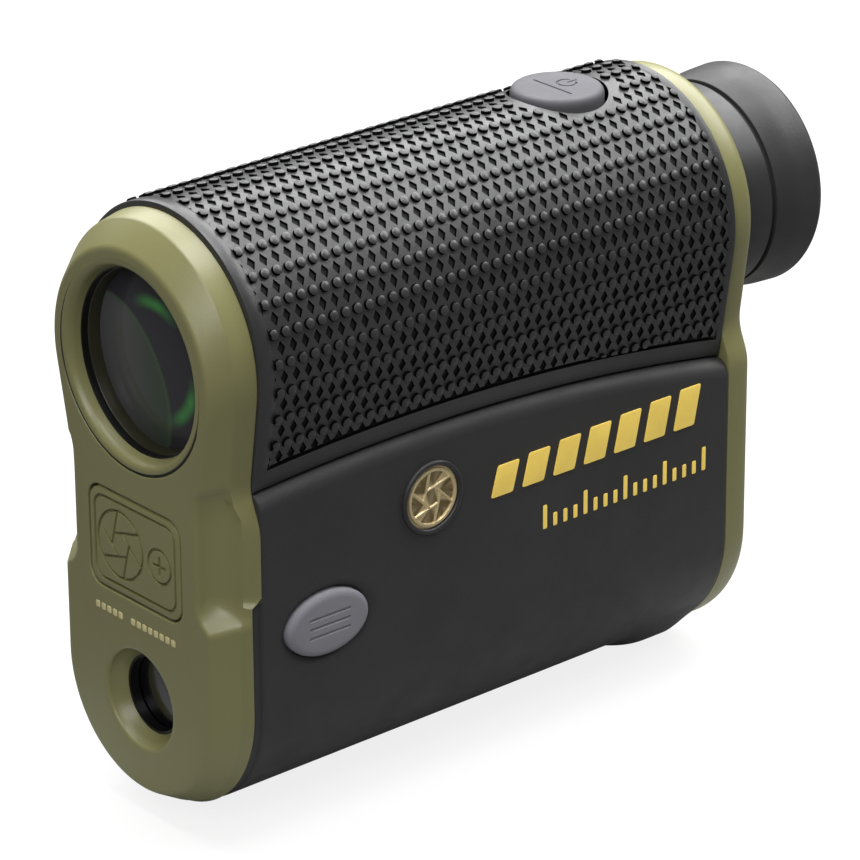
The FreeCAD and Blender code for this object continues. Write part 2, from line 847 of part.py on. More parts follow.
def make_rear_screws():
    """Four pan-head screws that hold the rear bezel to the chassis bosses."""
    screws = []
    head_front = dim.rear_face - 1.3
    for i, (x, z) in enumerate(screw_places()):
        shank = rod_y(f"shank_{i}", dim.screw_radius, head_front - 8, head_front, x, z)
        head = rod_y(f"head_{i}", dim.screw_head_radius, head_front, head_front + 1.1, x, z)
        slot = block(f"slot_{i}", x - 2, x + 2, head_front + 0.6, head_front + 2, z - 0.25, z + 0.25)
        screws.append(cut(f"rear_screw_{i}", fuse(f"screw_{i}", [shank, head]), [slot]))
    subpart(fuse("rear_screw_group", screws), "rear_screws")


# ---------------------------------------------------------------- objective


def lens(name, radius, front_y, rear_y, front_bend, rear_bend, z):
    """A round lens between two vertices. A positive bend bulges out, a negative one is hollow,
    and zero is flat."""
    start = as_size(front_y) - (0 if front_bend >= 0 else 3)
    end = as_size(rear_y) + (0 if rear_bend >= 0 else 3)
    shape = rod_y(name + "_blank", radius, start, end, z=z)
    for side, vertex, bend in ((1, as_size(front_y), front_bend), (-1, as_size(rear_y), rear_bend)):
        if bend == 0:
            continue
        ball = doc.addObject("Part::Sphere", f"{name}_ball_{side}")
        bind(ball, "Radius", abs(bend))
        locate(ball, 0, vertex + side * bend, z)
        if bend > 0:
            shape = common(f"{name}_bulge_{side}", [shape, ball])
        else:
            shape = cut(f"{name}_hollow_{side}", shape, [ball])
    return shape


def make_objective():
    """Olive lip ring, black cell, cemented doublet, its retaining ring and the cell's seal."""
    z = -dim.optic_drop
    depth, radius = dim.ring_depth, dim.ring_radius - 0.02
    lip, bore = dim.ring_lip_radius, dim.glass_radius - 0.1
    profile = [
        (lip, 0.35),
        (lip + 0.35, 0),
        (radius - 0.3, 0),
        (radius, 0.3),
        (radius, depth),
        (bore, depth),
        (bore, depth - 0.9),
    ]
    subpart(turned("lip_profile", "Y", profile), "objective_ring", z=z)

    outer, seat, rear = dim.cell_radius, dim.glass_radius + 0.05, depth + dim.cell_length
    groove = 7.0
    cell = [
        (seat, depth),
        (outer, depth),
        (outer, groove),
        (outer - 0.55, groove),
        (outer - 0.55, groove + 0.6),
        (outer, groove + 0.6),
        (outer, rear),
        (outer - 1.2, rear),
        (outer - 1.2, 12),
        (outer - 1.9, 12),
        (outer - 1.9, 9.45),
        (seat, 9.45),
    ]
    subpart(turned("cell_profile", "Y", cell), "objective_cell", z=z)
    subpart(o_ring("cell_seal", outer - 0.25, 0.3, groove + 0.3), "objective_o_ring", z=z)
    retainer = [
        (dim.clear_radius - 0.2, depth + 0.02),
        (dim.glass_radius, depth + 0.02),
        (dim.glass_radius, 5.1),
        (dim.clear_radius, 5.1),
        (dim.clear_radius, depth + 0.9),
    ]
    subpart(turned("retainer_profile", "Y", retainer), "objective_retainer", z=z)
    subpart(lens("crown", dim.glass_radius, 3.9, 8.1, 45, 40, 0), "objective_crown_lens", z=z)
    subpart(lens("flint", dim.glass_radius, 8.13, 9.43, -40, 0, 0), "objective_flint_lens", z=z)


def make_laser():
    """Transmitter tube: window, seal, sleeve, collimator and the diode module behind them."""
    z = -dim.laser_drop
    front, radius = 2.2, dim.sleeve_radius
    rear = front + dim.sleeve_length
    groove = 6.8
    sleeve = [
        (4.6, front),
        (radius, front),
        (radius, groove),
        (radius - 0.55, groove),
        (radius - 0.55, groove + 0.6),
        (radius, groove + 0.6),
        (radius, rear),
        (dim.window_radius - 0.1, rear),
        (dim.window_radius - 0.1, 19.4),
        (4.3, 19.4),
        (4.3, 4.65),
        (dim.window_radius + 0.02, 4.65),
        (dim.window_radius + 0.02, 3.4),
        (4.6, 3.4),
    ]
    subpart(turned("sleeve_profile", "Y", sleeve), "laser_sleeve", z=z)
    subpart(ring("window_disc", "Y", 0, dim.window_radius, 3.42, 4.62), "laser_window", z=z)
    subpart(o_ring("sleeve_seal", radius - 0.25, 0.3, groove + 0.3), "laser_o_ring", z=z)
    glass = dim.window_radius - 0.15
    subpart(lens("collimator", glass, 19.9, 22.9, 0, 9.5, 0), "collimator_lens", z=z)
    module = [
        (0, rear - 1.8),
        (2.8, rear - 1.8),
        (2.8, rear + 0.05),
        (radius, rear + 0.05),
        (radius, rear + 1.6),
        (4.2, rear + 1.6),
        (4.2, rear + 7),
        (0, rear + 7),
    ]
    subpart(turned("module_profile", "Y", module), "laser_diode_module", z=z)


# ---------------------------------------------------------------- eyepiece


def make_eyepiece():
    """Fixed collar, turning focus ring with its rubber cup, and the lens cell they drive."""
    z = -dim.optic_drop
    face, rear = dim.rear_face, dim.collar_rear
    neck, bore, wide = dim.neck_radius, dim.neck_bore, dim.focus_skirt_radius + dim.running_gap
    groove = face - 1.2
    collar = [
        (bore, 76.5),
        (neck, 76.5),
        (neck, groove),
        (neck - 0.75, groove),
        (neck - 0.75, groove + 0.8),
        (neck, groove + 0.8),
        (neck, face),
        (dim.collar_radius - 0.3, face),
        (dim.collar_radius, face + 0.3),
        (dim.collar_radius, rear - 0.3),
        (dim.collar_radius - 0.3, rear),
        (wide, rear),
        (wide, 83.5),
        (bore, 83.5),
    ]
    subpart(turned("collar_profile", "Y", collar), "eyepiece_collar", z=z)
    nut = ring("nut_profile", "Y", neck, neck + 0.6, 77.0, 79.6)
    subpart(nut, "collar_nut", z=z)
    subpart(o_ring("collar_seal", neck - 0.35, 0.38, groove + 0.4), "eyepiece_o_ring", z=z)

    skirt, focus_bore, outer = dim.focus_skirt_radius, dim.focus_bore, dim.focus_radius
    focus = [
        (focus_bore, 84.0),
        (skirt, 84.0),
        (skirt, rear + 0.25),
        (outer, rear + 0.25),
        (outer, 95.3),
        (focus_bore, 95.3),
    ]
    subpart(turned("focus_profile", "Y", focus), "focus_ring", z=z)
    cup, end = dim.eyecup_radius, dim.overall_length
    eyecup = [
        (outer, rear + 0.25),
        (cup - 0.5, rear + 0.25),
        (cup, 92.2),
        (cup, end - 0.6),
        (cup - 0.6, end),
        (10.4, end),
        (9.6, end - 0.5),
        (9.9, 95.35),
        (outer, 95.35),
    ]
    subpart(turned("eyecup_profile", "Y", eyecup), "eyecup", z=z)

    thread = focus_bore - dim.cell_flange_gap
    barrel = bore - 0.1
    cell = [
        (9.0, 80.2),
        (barrel, 80.2),
        (barrel, 87.5),
        (thread, 87.5),
        (thread, 90.5),
        (barrel, 90.5),
        (barrel, 94.0),
        (9.65, 94.0),
        (9.65, 89.0),
        (9.0, 89.0),
        (9.0, 85.4),
        (9.65, 85.4),
        (9.65, 81.0),
        (9.0, 81.0),
    ]
    subpart(turned("ocular_profile", "Y", cell), "ocular_cell", z=z)
    subpart(lens("field_glass", 9.6, 81.3, 85.2, 60, 22, 0), "field_lens", z=z)
    subpart(lens("eye_glass", 9.6, 89.1, 93.0, 24, 30, 0), "eye_lens", z=z)
    subpart(ring("ocular_nut", "Y", 8.9, 9.6, 93.05, 94.0), "ocular_retainer", z=z)


# ---------------------------------------------------------------- prism and receiver


def wedge(name, points, half_width):
    """A prism block: a polygon in the YZ plane, extended evenly to both sides."""
    body = doc.addObject("PartDesign::Body", name)
    sketch = new_sketch(body, name + "_outline", "YZ_Plane")
    draw_polygon(sketch, points)
    pad = body.newObject("PartDesign::Pad", name + "_pad")
    pad.Profile = sketch
    pad.Midplane = True
    bind(pad, "Length", as_size(half_width) * 2)
    return body


def make_prisms():
    """Erecting prism pair in its bracket, with the display, field stop and receiver on it."""
    half, front, rear = 8.0, 57.0, 75.5
    top, floor = 6.2, -8.2
    slope_low, slope_high = 64.0, 70.0
    outer = block("holder_outer", -half - 1.5, half + 1.5, front - 1, rear + 1, floor - 1, top + 1)
    hollow = block("holder_hollow", -half - 0.05, half + 0.05, front, rear, floor, top)
    ports = [
        rod_y("holder_port", 6.2, front - 3, rear + 3, z=-dim.optic_drop),
        block("display_port", -4, 4, 65, 73, floor - 2, floor + 1),
    ]
    holder = cut("holder_cut", outer, [hollow] + ports)
    subpart(holder, "prism_holder")
    penta = [
        (front + 0.1, floor + 0.1),
        (slope_low, floor + 0.1),
        (slope_high, top - 0.1),
        (front + 0.1, top - 0.1),
    ]
    subpart(wedge("penta", penta, half), "splitter_prism")
    roof = [
        (slope_low + 0.6, floor + 0.1),
        (rear - 0.1, floor + 0.1),
        (rear - 0.1, top - 0.1),
        (slope_high + 0.6, top - 0.1),
    ]
    subpart(wedge("roof", roof, half), "roof_prism")
    display = block("display_glass", -5, 5, 64.5, 73.5, floor - 2.2, floor - 1.02)
    subpart(display, "display_module")
    stop = ring("stop_disc", "Y", 5.5, 9.0, rear + 1.02, rear + 1.6)
    subpart(stop, "field_stop", z=-dim.optic_drop)
    receiver = [(0, front - 7), (2.7, front - 7), (2.7, front - 2.4), (3.2, front - 2.4)]
    receiver += [(3.2, front - 1.02), (0, front - 1.02)]
    subpart(turned("receiver_can", "Y", receiver), "receiver_module", z=floor + 2.6)


# ---------------------------------------------------------------- controls


def make_power_control():
    """Round button with its stem, sealing ring, switch plunger, switch and carrier board."""
    y, seat, top = dim.power_y, dim.seat_height, dim.power_top
    radius, stem = dim.power_radius, dim.stem_radius
    cap = [
        (0, seat - 1.5),
        (stem, seat - 1.5),
        (stem, seat + 2.0),
        (4.9, seat + 2.0),
        (4.9, seat + 0.9),
        (radius, seat + 0.9),
        (radius, top - 0.9),
        (radius - 0.3, top - 0.3),
        (radius - 0.9, top),
        (0, top),
    ]
    subpart(turned("power_cap", "Z", cap), "power_button", y=y)
    seal = ring("power_ring", "Z", stem + 0.2, 4.5, seat, seat + 0.8)
    subpart(seal, "power_seal", y=y)
    pin = ring("power_pin", "Z", 0, 1.0, seat - 2.7, seat - 1.5)
    subpart(pin, "power_plunger", y=y)
    board = block("power_board_blank", -6, 6, y - 6, y + 6, 7.2, 8.2)
    subpart(board, "power_board")
    switch = cut(
        "power_switch_body",
        block("power_switch_blank", -3, 3, y - 3, y + 3, 8.2, seat - 2.4),
        [rod_z("power_switch_bore", 1.05, seat - 3.6, seat, y=y)],
    )
    subpart(switch, "power_switch")


def make_mode_control():
    """Oval side button with the same train behind it."""
    y, z = dim.mode_y, -dim.mode_drop
    wall, face = 14.6, dim.mode_face
    stem = dim.mode_stem_radius
    oval = ellipse_rod("mode_oval", dim.mode_half_length, dim.mode_half_height, 15.4, face, y, z)
    recess = rod_x("mode_recess", 3.2, 15.0, 16.1, y, z)
    rounded = fillet("mode_rounded", oval, 0.45, lambda e: e.BoundBox.XMin > face.value - 0.1)
    post = rod_x("mode_post", stem, wall - 2.0, 16.2, y, z)
    subpart(fuse("mode_cap", [cut("mode_shell", rounded, [recess]), post]), "mode_button")
    seal = ring("mode_ring", "X", stem + 0.2, 3.0, wall, wall + 0.6)
    subpart(seal, "mode_seal", y=y, z=z)
    pin = ring("mode_pin", "X", 0, 0.9, wall - 3.2, wall - 2.0)
    subpart(pin, "mode_plunger", y=y, z=z)
    board = block("mode_board_blank", 7.4, 8.4, y - 5.6, y + 6, z - 6, z + 6)
    subpart(board, "mode_board")
    switch = cut(
        "mode_switch_body",
        block("mode_switch_blank", 8.4, wall - 3.0, y - 3, y + 3, z - 3, z + 3),
        [rod_x("mode_switch_bore", 0.95, wall - 4.1, wall, y, z)],
    )
    subpart(switch, "mode_switch")


def make_badge():
    """Plain round badge: a black rim round a gold disc with a centre boss."""
    y, z, floor = dim.badge_y, -dim.badge_drop, dim.badge_floor
    disc, rim = dim.badge_disc_radius, dim.badge_radius
    subpart(ring("badge_rim_ring", "X", disc, rim, floor, floor + 0.7), "badge_rim", y=y, z=z)
    profile = [
        (floor, 0),
        (floor, disc),
        (floor + 0.45, disc),
        (floor + 0.45, 2.6),
        (floor + 0.3, 2.3),
        (floor + 0.3, 1.5),
        (floor + 0.45, 1.2),
        (floor + 0.45, 0),
    ]
    subpart(turned("badge_profile", "X", profile), "badge_disc", y=y, z=z)


# ---------------------------------------------------------------- battery and boards


def make_battery():
    """Photo-lithium cell in its tube, with the front spring and the contact on the cap."""
    z = -dim.battery_drop
    front, length = dim.battery_front, dim.battery_length
    bore, outer = dim.tube_bore, dim.tube_radius
    rear = front + length
    tube = [
        (0, front - 3.9),
        (bore + 0.8, front - 3.9),
        (bore + 0.8, rear - 1.2),
        (outer, rear - 1.2),
        (outer, dim.rear_joint),
        (dim.plug_radius + dim.running_gap, dim.rear_joint),
        (dim.plug_radius + dim.running_gap, rear + 0.3),
        (bore, rear + 0.3),
        (bore, front - 2.7),
        (0, front - 2.7),
    ]
    subpart(turned("tube_profile", "Y", tube), "battery_tube", z=z)
    cell = [
        (0, front),
        (dim.battery_radius, front),
        (dim.battery_radius, rear - 0.6),
        (3.2, rear - 0.6),
        (3.2, rear),
        (0, rear),
    ]
    subpart(turned("battery_profile", "Y", cell), "battery", z=z)
    subpart(make_spring(front - 2.7, front), "battery_spring", z=z)


def make_spring(start, end):
    """Contact spring of square wire swept along a helix."""
    radius, half, turns = 3.2, 0.25, 2.5
    run = (end - start).value - 2 * half - 0.04
    helix = Part.makeHelix(run / turns, run, radius)
    corners = [
        Vector(radius - half, 0, -half),
        Vector(radius + half, 0, -half),
        Vector(radius + half, 0, half),
        Vector(radius - half, 0, half),
    ]
    profile = Part.Wire(Part.makePolygon(corners + corners[:1]))
    spring = doc.addObject("Part::Feature", "spring_coil")
    spring.Shape = Part.Wire(helix).makePipeShell([profile], True, True)
    locate(spring, 0, start + half + 0.02, 0, ALONG_Y)
    return spring


def make_battery_cap():
    """Quarter-turn cap with its seal and contact, and a half-round tab that folds flat into it."""
    z = -dim.battery_drop
    plug, head, front, rear = dim.plug_radius, dim.cap_radius, dim.cap_front, dim.cap_rear
    inner = dim.battery_front + dim.battery_length + 0.5
    groove = 79.0
    profile = [
        (0, inner),
        (plug, inner),
        (plug, groove),
        (plug - 0.9, groove),
        (plug - 0.9, groove + 0.9),
        (plug, groove + 0.9),
        (plug, front),
        (head, front),
        (head, rear - 0.4),
        (head - 0.4, rear),
        (0, rear),
    ]
    pin_y = rear - 0.75
    pin = dim.tab_pin_radius
    pocket = common(
        "tab_pocket",
        [
            rod_y("tab_pocket_round", dim.tab_radius + 0.2, rear - 1.45, rear + 1),
            block("tab_pocket_half", -10, 10, rear - 2, rear + 2, -10, 1.2),
        ],
    )
    cap = cut(
        "cap_cut",
        turned("cap_profile", "Y", profile),
        [pocket, rod_x("tab_pin_bore", pin, -8.2, 8.2, pin_y, 0)],
    )
    subpart(cap, "battery_cap", z=z)
    subpart(o_ring("cap_seal", plug - 0.45, 0.42, groove + 0.45), "cap_o_ring", z=z)
    contact = ring("contact_disc", "Y", 0, 5.5, inner - 0.45, inner)
    subpart(contact, "cap_contact", z=z)

    thick = dim.tab_thickness
    leaf = common(
        "tab_leaf",
        [
            rod_y("tab_round", dim.tab_radius, pin_y - thick / 2, pin_y + thick / 2),
            block("tab_half", -10, 10, rear - 3, rear + 3, -10, 0),
        ],
    )
    barrel = rod_x("tab_barrel", thick / 2, -6.2, 6.2, pin_y, 0)
    solid = fuse("tab_solid", [leaf, barrel])
    bore = rod_x("tab_bore", pin + 0.03, -9, 9, pin_y, 0)
    grip = rod_y("tab_grip", 1.6, rear - 4, rear + 4, z=-4.0)
    subpart(cut("tab_cut", solid, [bore, grip]), "cap_tab", z=z)
    subpart(rod_x("pin_rod", pin, -8.0, 8.0, pin_y, 0), "tab_pin", z=z)


def make_main_board():
    """Upright circuit board with its components, held by two screws to a side wall."""
    x0, x1 = -dim.board_x, -dim.board_x + dim.board_thickness
    y0, y1, z0, z1 = 12, 47, -46, -21
    holes = [rod_x(f"board_hole_{i}", 1.1, -13, -8, y, -24.5) for i, y in enumerate((15.5, 43.5))]
    board = cut("board_cut", block("board_blank", x0, x1, y0, y1, z0, z1), holes)
    subpart(board, "main_board")
    chips = [
        block("processor", x1, x1 + 1.0, 25, 34, -40, -31),
        block("timer", x1, x1 + 0.9, 15.5, 20.5, -36, -31),
        block("supply", x1, x1 + 1.4, 37.5, 42, -43, -38.5),
        block("memory", x1, x1 + 0.8, 37, 43, -34, -30),
        block("coil", x1, x1 + 1.8, 15, 19, -43, -39),
    ]
    subpart(fuse("chip_group", chips), "board_components")
    screws = []
    for i, y in enumerate((15.5, 43.5)):
        shank = rod_x(f"board_shank_{i}", 0.95, -dim.board_x - 0.7, x1, y, -24.5)
        head = rod_x(f"board_head_{i}", 1.8, x1, x1 + 1.0, y, -24.5)
        screws.append(fuse(f"board_screw_{i}", [shank, head]))
    subpart(fuse("board_screw_group", screws), "board_screws")


# ---------------------------------------------------------------- document

make_chassis()
make_upper_armour()
make_lower_armour()
make_front_bezel()
make_front_inlay()
make_rear_bezel()
make_gaskets()
make_rear_screws()
make_objective()
make_laser()
make_eyepiece()
make_prisms()
make_power_control()
make_mode_control()
make_badge()
make_battery()
make_battery_cap()
make_main_board()
subpart(lanyard_rod("lanyard_bar_rod"), "lanyard_bar")

doc.recompute()

check_states()
for obj in subparts:
    if obj.Shape.isNull() or not obj.Shape.isValid():
        raise RuntimeError(f"{obj.Label} has no valid shape")

os.makedirs("parts", exist_ok=True)
for obj in subparts:
    obj.Shape.exportStep(f"parts/{obj.Label}.step")
    print(f"{obj.Label}: {len(obj.Shape.Solids)} solids, {obj.Shape.Volume:.1f} mm3")
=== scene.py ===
"""A handheld laser rangefinder on a pale floor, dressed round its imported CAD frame.

Shapes are drawn in millimetres in the drawing frame: x to the right, y from the front face to the
eyepiece, z up from the axis of the upper sleeve. Shell.build turns them into metres in the frame
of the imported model, from the places of the CAD nodes.
"""

import json
import math

import bmesh
import bpy
import numpy as np
from mathutils import Matrix, Vector
from mathutils.geometry import delaunay_2d_cdt


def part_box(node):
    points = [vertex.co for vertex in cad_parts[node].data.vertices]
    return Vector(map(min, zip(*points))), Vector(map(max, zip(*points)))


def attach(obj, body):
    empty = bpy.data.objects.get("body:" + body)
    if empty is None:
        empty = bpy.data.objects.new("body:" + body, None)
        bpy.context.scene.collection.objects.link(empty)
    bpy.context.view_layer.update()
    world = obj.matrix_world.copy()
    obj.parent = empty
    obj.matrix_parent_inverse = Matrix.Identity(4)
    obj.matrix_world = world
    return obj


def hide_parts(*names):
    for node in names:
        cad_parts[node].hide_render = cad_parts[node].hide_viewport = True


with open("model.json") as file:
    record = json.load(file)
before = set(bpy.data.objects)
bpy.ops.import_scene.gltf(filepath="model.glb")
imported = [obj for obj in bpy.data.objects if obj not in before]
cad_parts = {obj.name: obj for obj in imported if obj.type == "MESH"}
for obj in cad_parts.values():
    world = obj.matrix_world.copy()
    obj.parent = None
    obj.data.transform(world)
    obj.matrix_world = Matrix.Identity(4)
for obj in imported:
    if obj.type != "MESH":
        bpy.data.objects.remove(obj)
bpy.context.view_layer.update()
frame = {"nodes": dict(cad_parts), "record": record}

MM = 0.001
MERGE = 4e-7
OPTIC_DROP = 1.0

face_low, face_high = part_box("front_bezel")
ring_low, ring_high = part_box("objective_ring")
ORIGIN = np.array(
    [
        (face_low.x + face_high.x) / 2,
        face_low.y,
        (ring_low.z + ring_high.z) / 2 + OPTIC_DROP * MM,
    ]
)


# ---------------------------------------------------------------- mesh tools


def smooth(low, high, value):
    """A smooth step from 0 at low to 1 at high."""
    t = np.clip((np.asarray(value, float) - low) / (high - low), 0, 1)
    return t * t * (3 - 2 * t)


def oval(half_a, half_b, count, x=0.0, y=0.0):
    """Points on an ellipse."""
    turn = np.linspace(0, 2 * math.pi, count, endpoint=False)
    return np.column_stack([x + half_a * np.cos(turn), y + half_b * np.sin(turn)])


def circle(radius, count, x=0.0, y=0.0):
    return oval(radius, radius, count, x, y)


def box_outline(half_x, half_y, corner, x=0.0, y=0.0, steps=6):
    """A rectangle with round corners."""
    points = []
    for quarter, (sx, sy) in enumerate(((1, 1), (-1, 1), (-1, -1), (1, -1))):
        for k in range(steps + 1):
            turn = math.pi / 2 * (quarter + k / steps)
            right = x + sx * (half_x - corner) + corner * math.cos(turn)
            up = y + sy * (half_y - corner) + corner * math.sin(turn)
            points.append((right, up))
    return np.array(points)


def corner_curve(before, corner, after, cut, steps):
    """Points of a curve that replaces a corner, starting and ending the cut's length away."""
    into, out = before - corner, after - corner
    into = into / np.maximum(np.linalg.norm(into, axis=-1, keepdims=True), 1e-9)
    out = out / np.maximum(np.linalg.norm(out, axis=-1, keepdims=True), 1e-9)
    start, end = corner + into * cut, corner + out * cut
    found = []
    for t in np.linspace(0, 1, steps):
        found.append((1 - t) ** 2 * start + 2 * t * (1 - t) * corner + t * t * end)
    return found


def rounded(points, cuts, steps=5, closed=False):
    """A polyline whose corners become curves. cuts is one length, or one for each point."""
    points = [np.array(p, float) for p in points]
    count = len(points)
    cuts = [cuts] * count if np.isscalar(cuts) else list(cuts)
    found = []
    for i, corner in enumerate(points):
        at_end = not closed and i in (0, count - 1)
        if at_end or cuts[i] == 0:
            found.append(corner)
            continue
        before, after = points[i - 1], points[(i + 1) % count]
        reach = min(np.linalg.norm(before - corner), np.linalg.norm(after - corner)) * 0.49
        found.extend(corner_curve(before, corner, after, min(cuts[i], reach), steps))
    return np.array(found)


def triangulate(outer, holes=(), lines=(), spots=()):
    """A triangle net inside outer and outside the holes, which keeps every line as edges.

    lines holds (points, closed) pairs, and spots holds single points. Returns points, triangles."""
    points, edges, faces = [], [], []
    for loop in (outer, *holes):
        loop = np.asarray(loop)
        ahead = np.roll(loop, -1, 0)
        if (loop[:, 0] * ahead[:, 1] - ahead[:, 0] * loop[:, 1]).sum() < 0:
            loop = loop[::-1]
        faces.append(list(range(len(points), len(points) + len(loop))))
        points.extend(loop)
    for line, closed in lines:
        first = len(points)
        points.extend(line)
        count = len(line)
        edges.extend((first + i, first + i + 1) for i in range(count - 1))
        if closed:
            edges.append((first + count - 1, first))
    points.extend(spots)
    found = delaunay_2d_cdt([Vector(p) for p in points], edges, faces, 0, 1e-5, True)
    flat = np.array([tuple(p) for p in found[0]])
    kept = np.array([f for f, inside in zip(found[2], found[5]) if list(inside) == [0]])
    used, renumbered = np.unique(kept, return_inverse=True)
    return flat[used], renumbered.reshape(kept.shape)


def rims(triangles):
    """The open edges of a triangle net, chained into loops, longest first."""
    directed = set()
    for a, b, c in triangles.tolist():
        directed.update(((a, b), (b, c), (c, a)))
    after = {a: b for a, b in directed if (b, a) not in directed}
    loops = []
    while after:
        start = next(iter(after))
        loop = [start]
        here = after.pop(start)
        while here != start and here in after:
            loop.append(here)
            here = after.pop(here)
        loops.append(np.array(loop))
    return sorted(loops, key=len, reverse=True)


def outer_first(loops, flat):
    """The loops with the one that spans most put first."""
    return sorted(loops, key=lambda loop: -np.ptp(flat[loop], axis=0).max())


class Shell:
    """Points in millimetres and faces, gathered into one mesh."""

    def __init__(self):
        self.blocks = []
        self.count = 0
        self.faces = []

    def add(self, points):
        """Adds points and returns their numbers."""
        points = np.asarray(points, float).reshape(-1, 3)
        self.blocks.append(points)
        self.count += len(points)
        return np.arange(self.count - len(points), self.count)

    def band(self, a, b):
        """Quads between two closed rows with as many points."""
        self.faces.extend(np.column_stack([a, np.roll(a, -1), np.roll(b, -1), b]).tolist())

    def skin(self, rows, closed=False):
        """Bands through a list of closed rows. Returns the rows' numbers.

        closed joins the last row to the first."""
        numbers = [self.add(row) for row in rows]
        for a, b in zip(numbers, numbers[1:]):
            self.band(a, b)
        if closed:
            self.band(numbers[-1], numbers[0])
        return numbers

    def net(self, flat, triangles, place):
        """Places a triangle net in space and returns its rims' plane points and numbers."""
        numbers = self.add(place(flat))
        self.faces.extend(numbers[triangles].tolist())
        loops = outer_first(rims(triangles), flat)
        return [(flat[loop], numbers[loop]) for loop in loops]

    def wall(self, numbers, *rows):
        """Bands from a loop of numbers on through rows of as many points."""
        for row in rows:
            after = self.add(row)
            self.band(numbers, after)
            numbers = after
        return numbers

    def lid(self, numbers):
        self.faces.append([int(n) for n in numbers])

    def build(self, name, body, slot=None, nodes=(), look=None, sharp=32):
        """Makes the piece, which rides on a body and stands for the given CAD nodes.

        It has its slot's look unless another is given."""
        points = np.vstack(self.blocks) * MM + ORIGIN
        mesh = bpy.data.meshes.new(name)
        mesh.from_pydata(points.tolist(), [], self.faces)
        net = bmesh.new()
        net.from_mesh(mesh)
        bmesh.ops.remove_doubles(net, verts=net.verts, dist=MERGE)
        bmesh.ops.delete(net, geom=[v for v in net.verts if not v.link_faces], context="VERTS")
        bmesh.ops.recalc_face_normals(net, faces=net.faces)
        net.to_mesh(mesh)
        net.free()
        mesh.shade_smooth()
        mesh.set_sharp_from_angle(angle=math.radians(sharp))
        mesh.materials.append(look or LOOKS[slot])
        piece = bpy.data.objects.new(name, mesh)
        bpy.context.scene.collection.objects.link(piece)
        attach(piece, body)
        if nodes:
            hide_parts(*nodes)


def turned(shell, profile, axis, centre, segments=96, closed=False):
    """A profile of (radius, station) points turned about an axis through centre."""
    turn = np.linspace(0, 2 * math.pi, segments, endpoint=False)
    cos, sin = np.cos(turn), np.sin(turn)
    rows = []
    for radius, station in profile:
        along = np.full(segments, station)
        if axis == "y":
            row = (centre[0] + radius * sin, along, centre[1] + radius * cos)
        elif axis == "z":
            row = (centre[0] + radius * cos, centre[1] + radius * sin, along)
        else:
            row = (along, centre[0] + radius * cos, centre[1] + radius * sin)
        rows.append(np.column_stack(row))
    return shell.skin(rows, closed)


# ---------------------------------------------------------------- lines cut into or raised from a face


class Stroke:
    """A line of a given width, cut into a face or raised from it."""

    def __init__(self, points, width, height, closed=False, slope=0.07):
        self.points = np.array(points, float)
        self.half = width / 2
        self.height = height
        self.closed = closed
        self.slope = slope

    def side(self, offset):
        points = self.points
        if self.closed:
            ahead, behind = np.roll(points, -1, 0), np.roll(points, 1, 0)
        else:
            ahead = np.vstack([points[1:], points[-1:]])
            behind = np.vstack([points[:1], points[:-1]])
        run = ahead - behind
        run /= np.maximum(np.linalg.norm(run, axis=1, keepdims=True), 1e-9)
        return points + offset * np.column_stack([-run[:, 1], run[:, 0]])

    def outlines(self):
        """The closed outlines at the line's full width and at the foot of its slope."""
        found = []
        for half in (self.half, self.half - self.slope):
            if self.closed:
                found += [(self.side(half), True), (self.side(-half), True)]
                continue
            loop = list(self.side(half))
            for end, before in ((self.points[-1], self.points[-2]), (self.points[0], self.points[1])):
                way = math.atan2(*(end - before)[::-1])
                for k in range(1, 6):
                    turn = way + math.pi / 2 - math.pi * k / 6
                    loop.append(end + half * np.array([math.cos(turn), math.sin(turn)]))
                if end is self.points[-1] or np.allclose(end, self.points[-1]):
                    loop += list(self.side(-half)[::-1])
            found.append((np.array(loop), True))
        return found

    def relief(self, flat):
        """The height that the line adds at plane points."""
        points = np.vstack([self.points, self.points[:1]]) if self.closed else self.points
        start, run = points[:-1], np.diff(points, axis=0)
        away = flat[:, None, :] - start[None]
        share = np.clip((away * run).sum(2) / np.maximum((run**2).sum(1), 1e-12), 0, 1)
        gap = np.linalg.norm(away - share[..., None] * run, axis=2).min(1)
        return self.height * np.clip((self.half - gap) / self.slope, 0, 1)


def embossed(shell, outer, holes, strokes, place):
    """A face with strokes in it. place gives points in space from plane points and heights."""
    lines = [line for stroke in strokes for line in stroke.outlines()]
    flat, triangles = triangulate(outer, holes, lines)

    def lift(points):
        height = np.zeros(len(points))
        for stroke in strokes:
            added = stroke.relief(points)
            height = np.where(np.abs(added) > np.abs(height), added, height)
        return place(points, height)

    return shell.net(flat, triangles, lift)


def arc_line(radius, start, end, count=24, x=0.0, y=0.0):
    """Points along an arc, in degrees anticlockwise from the right."""
    turn = np.radians(np.linspace(start, end, count))
    return np.column_stack([x + radius * np.cos(turn), y + radius * np.sin(turn)])


def iris_strokes(radius, width, height, x=0.0, y=0.0, slope=0.07):
    """The blades of a camera iris, a common sign for optics."""
    strokes = []
    blades = 6
    inner = radius * 0.42
    for k in range(blades):
        a = 2 * math.pi * (k + 0.25) / blades
        b = a + 2 * math.pi / blades
        corner = np.array([x + inner * math.cos(a), y + inner * math.sin(a)])
        following = np.array([x + inner * math.cos(b), y + inner * math.sin(b)])
        run = (corner - following) / np.linalg.norm(corner - following)
        offset = corner - np.array([x, y])
        along = offset @ run
        reach = -along + math.sqrt(along**2 - offset @ offset + radius**2)
        strokes.append(Stroke([following, corner + run * reach], width, height, slope=slope))
    return strokes


# ---------------------------------------------------------------- outlines of the body

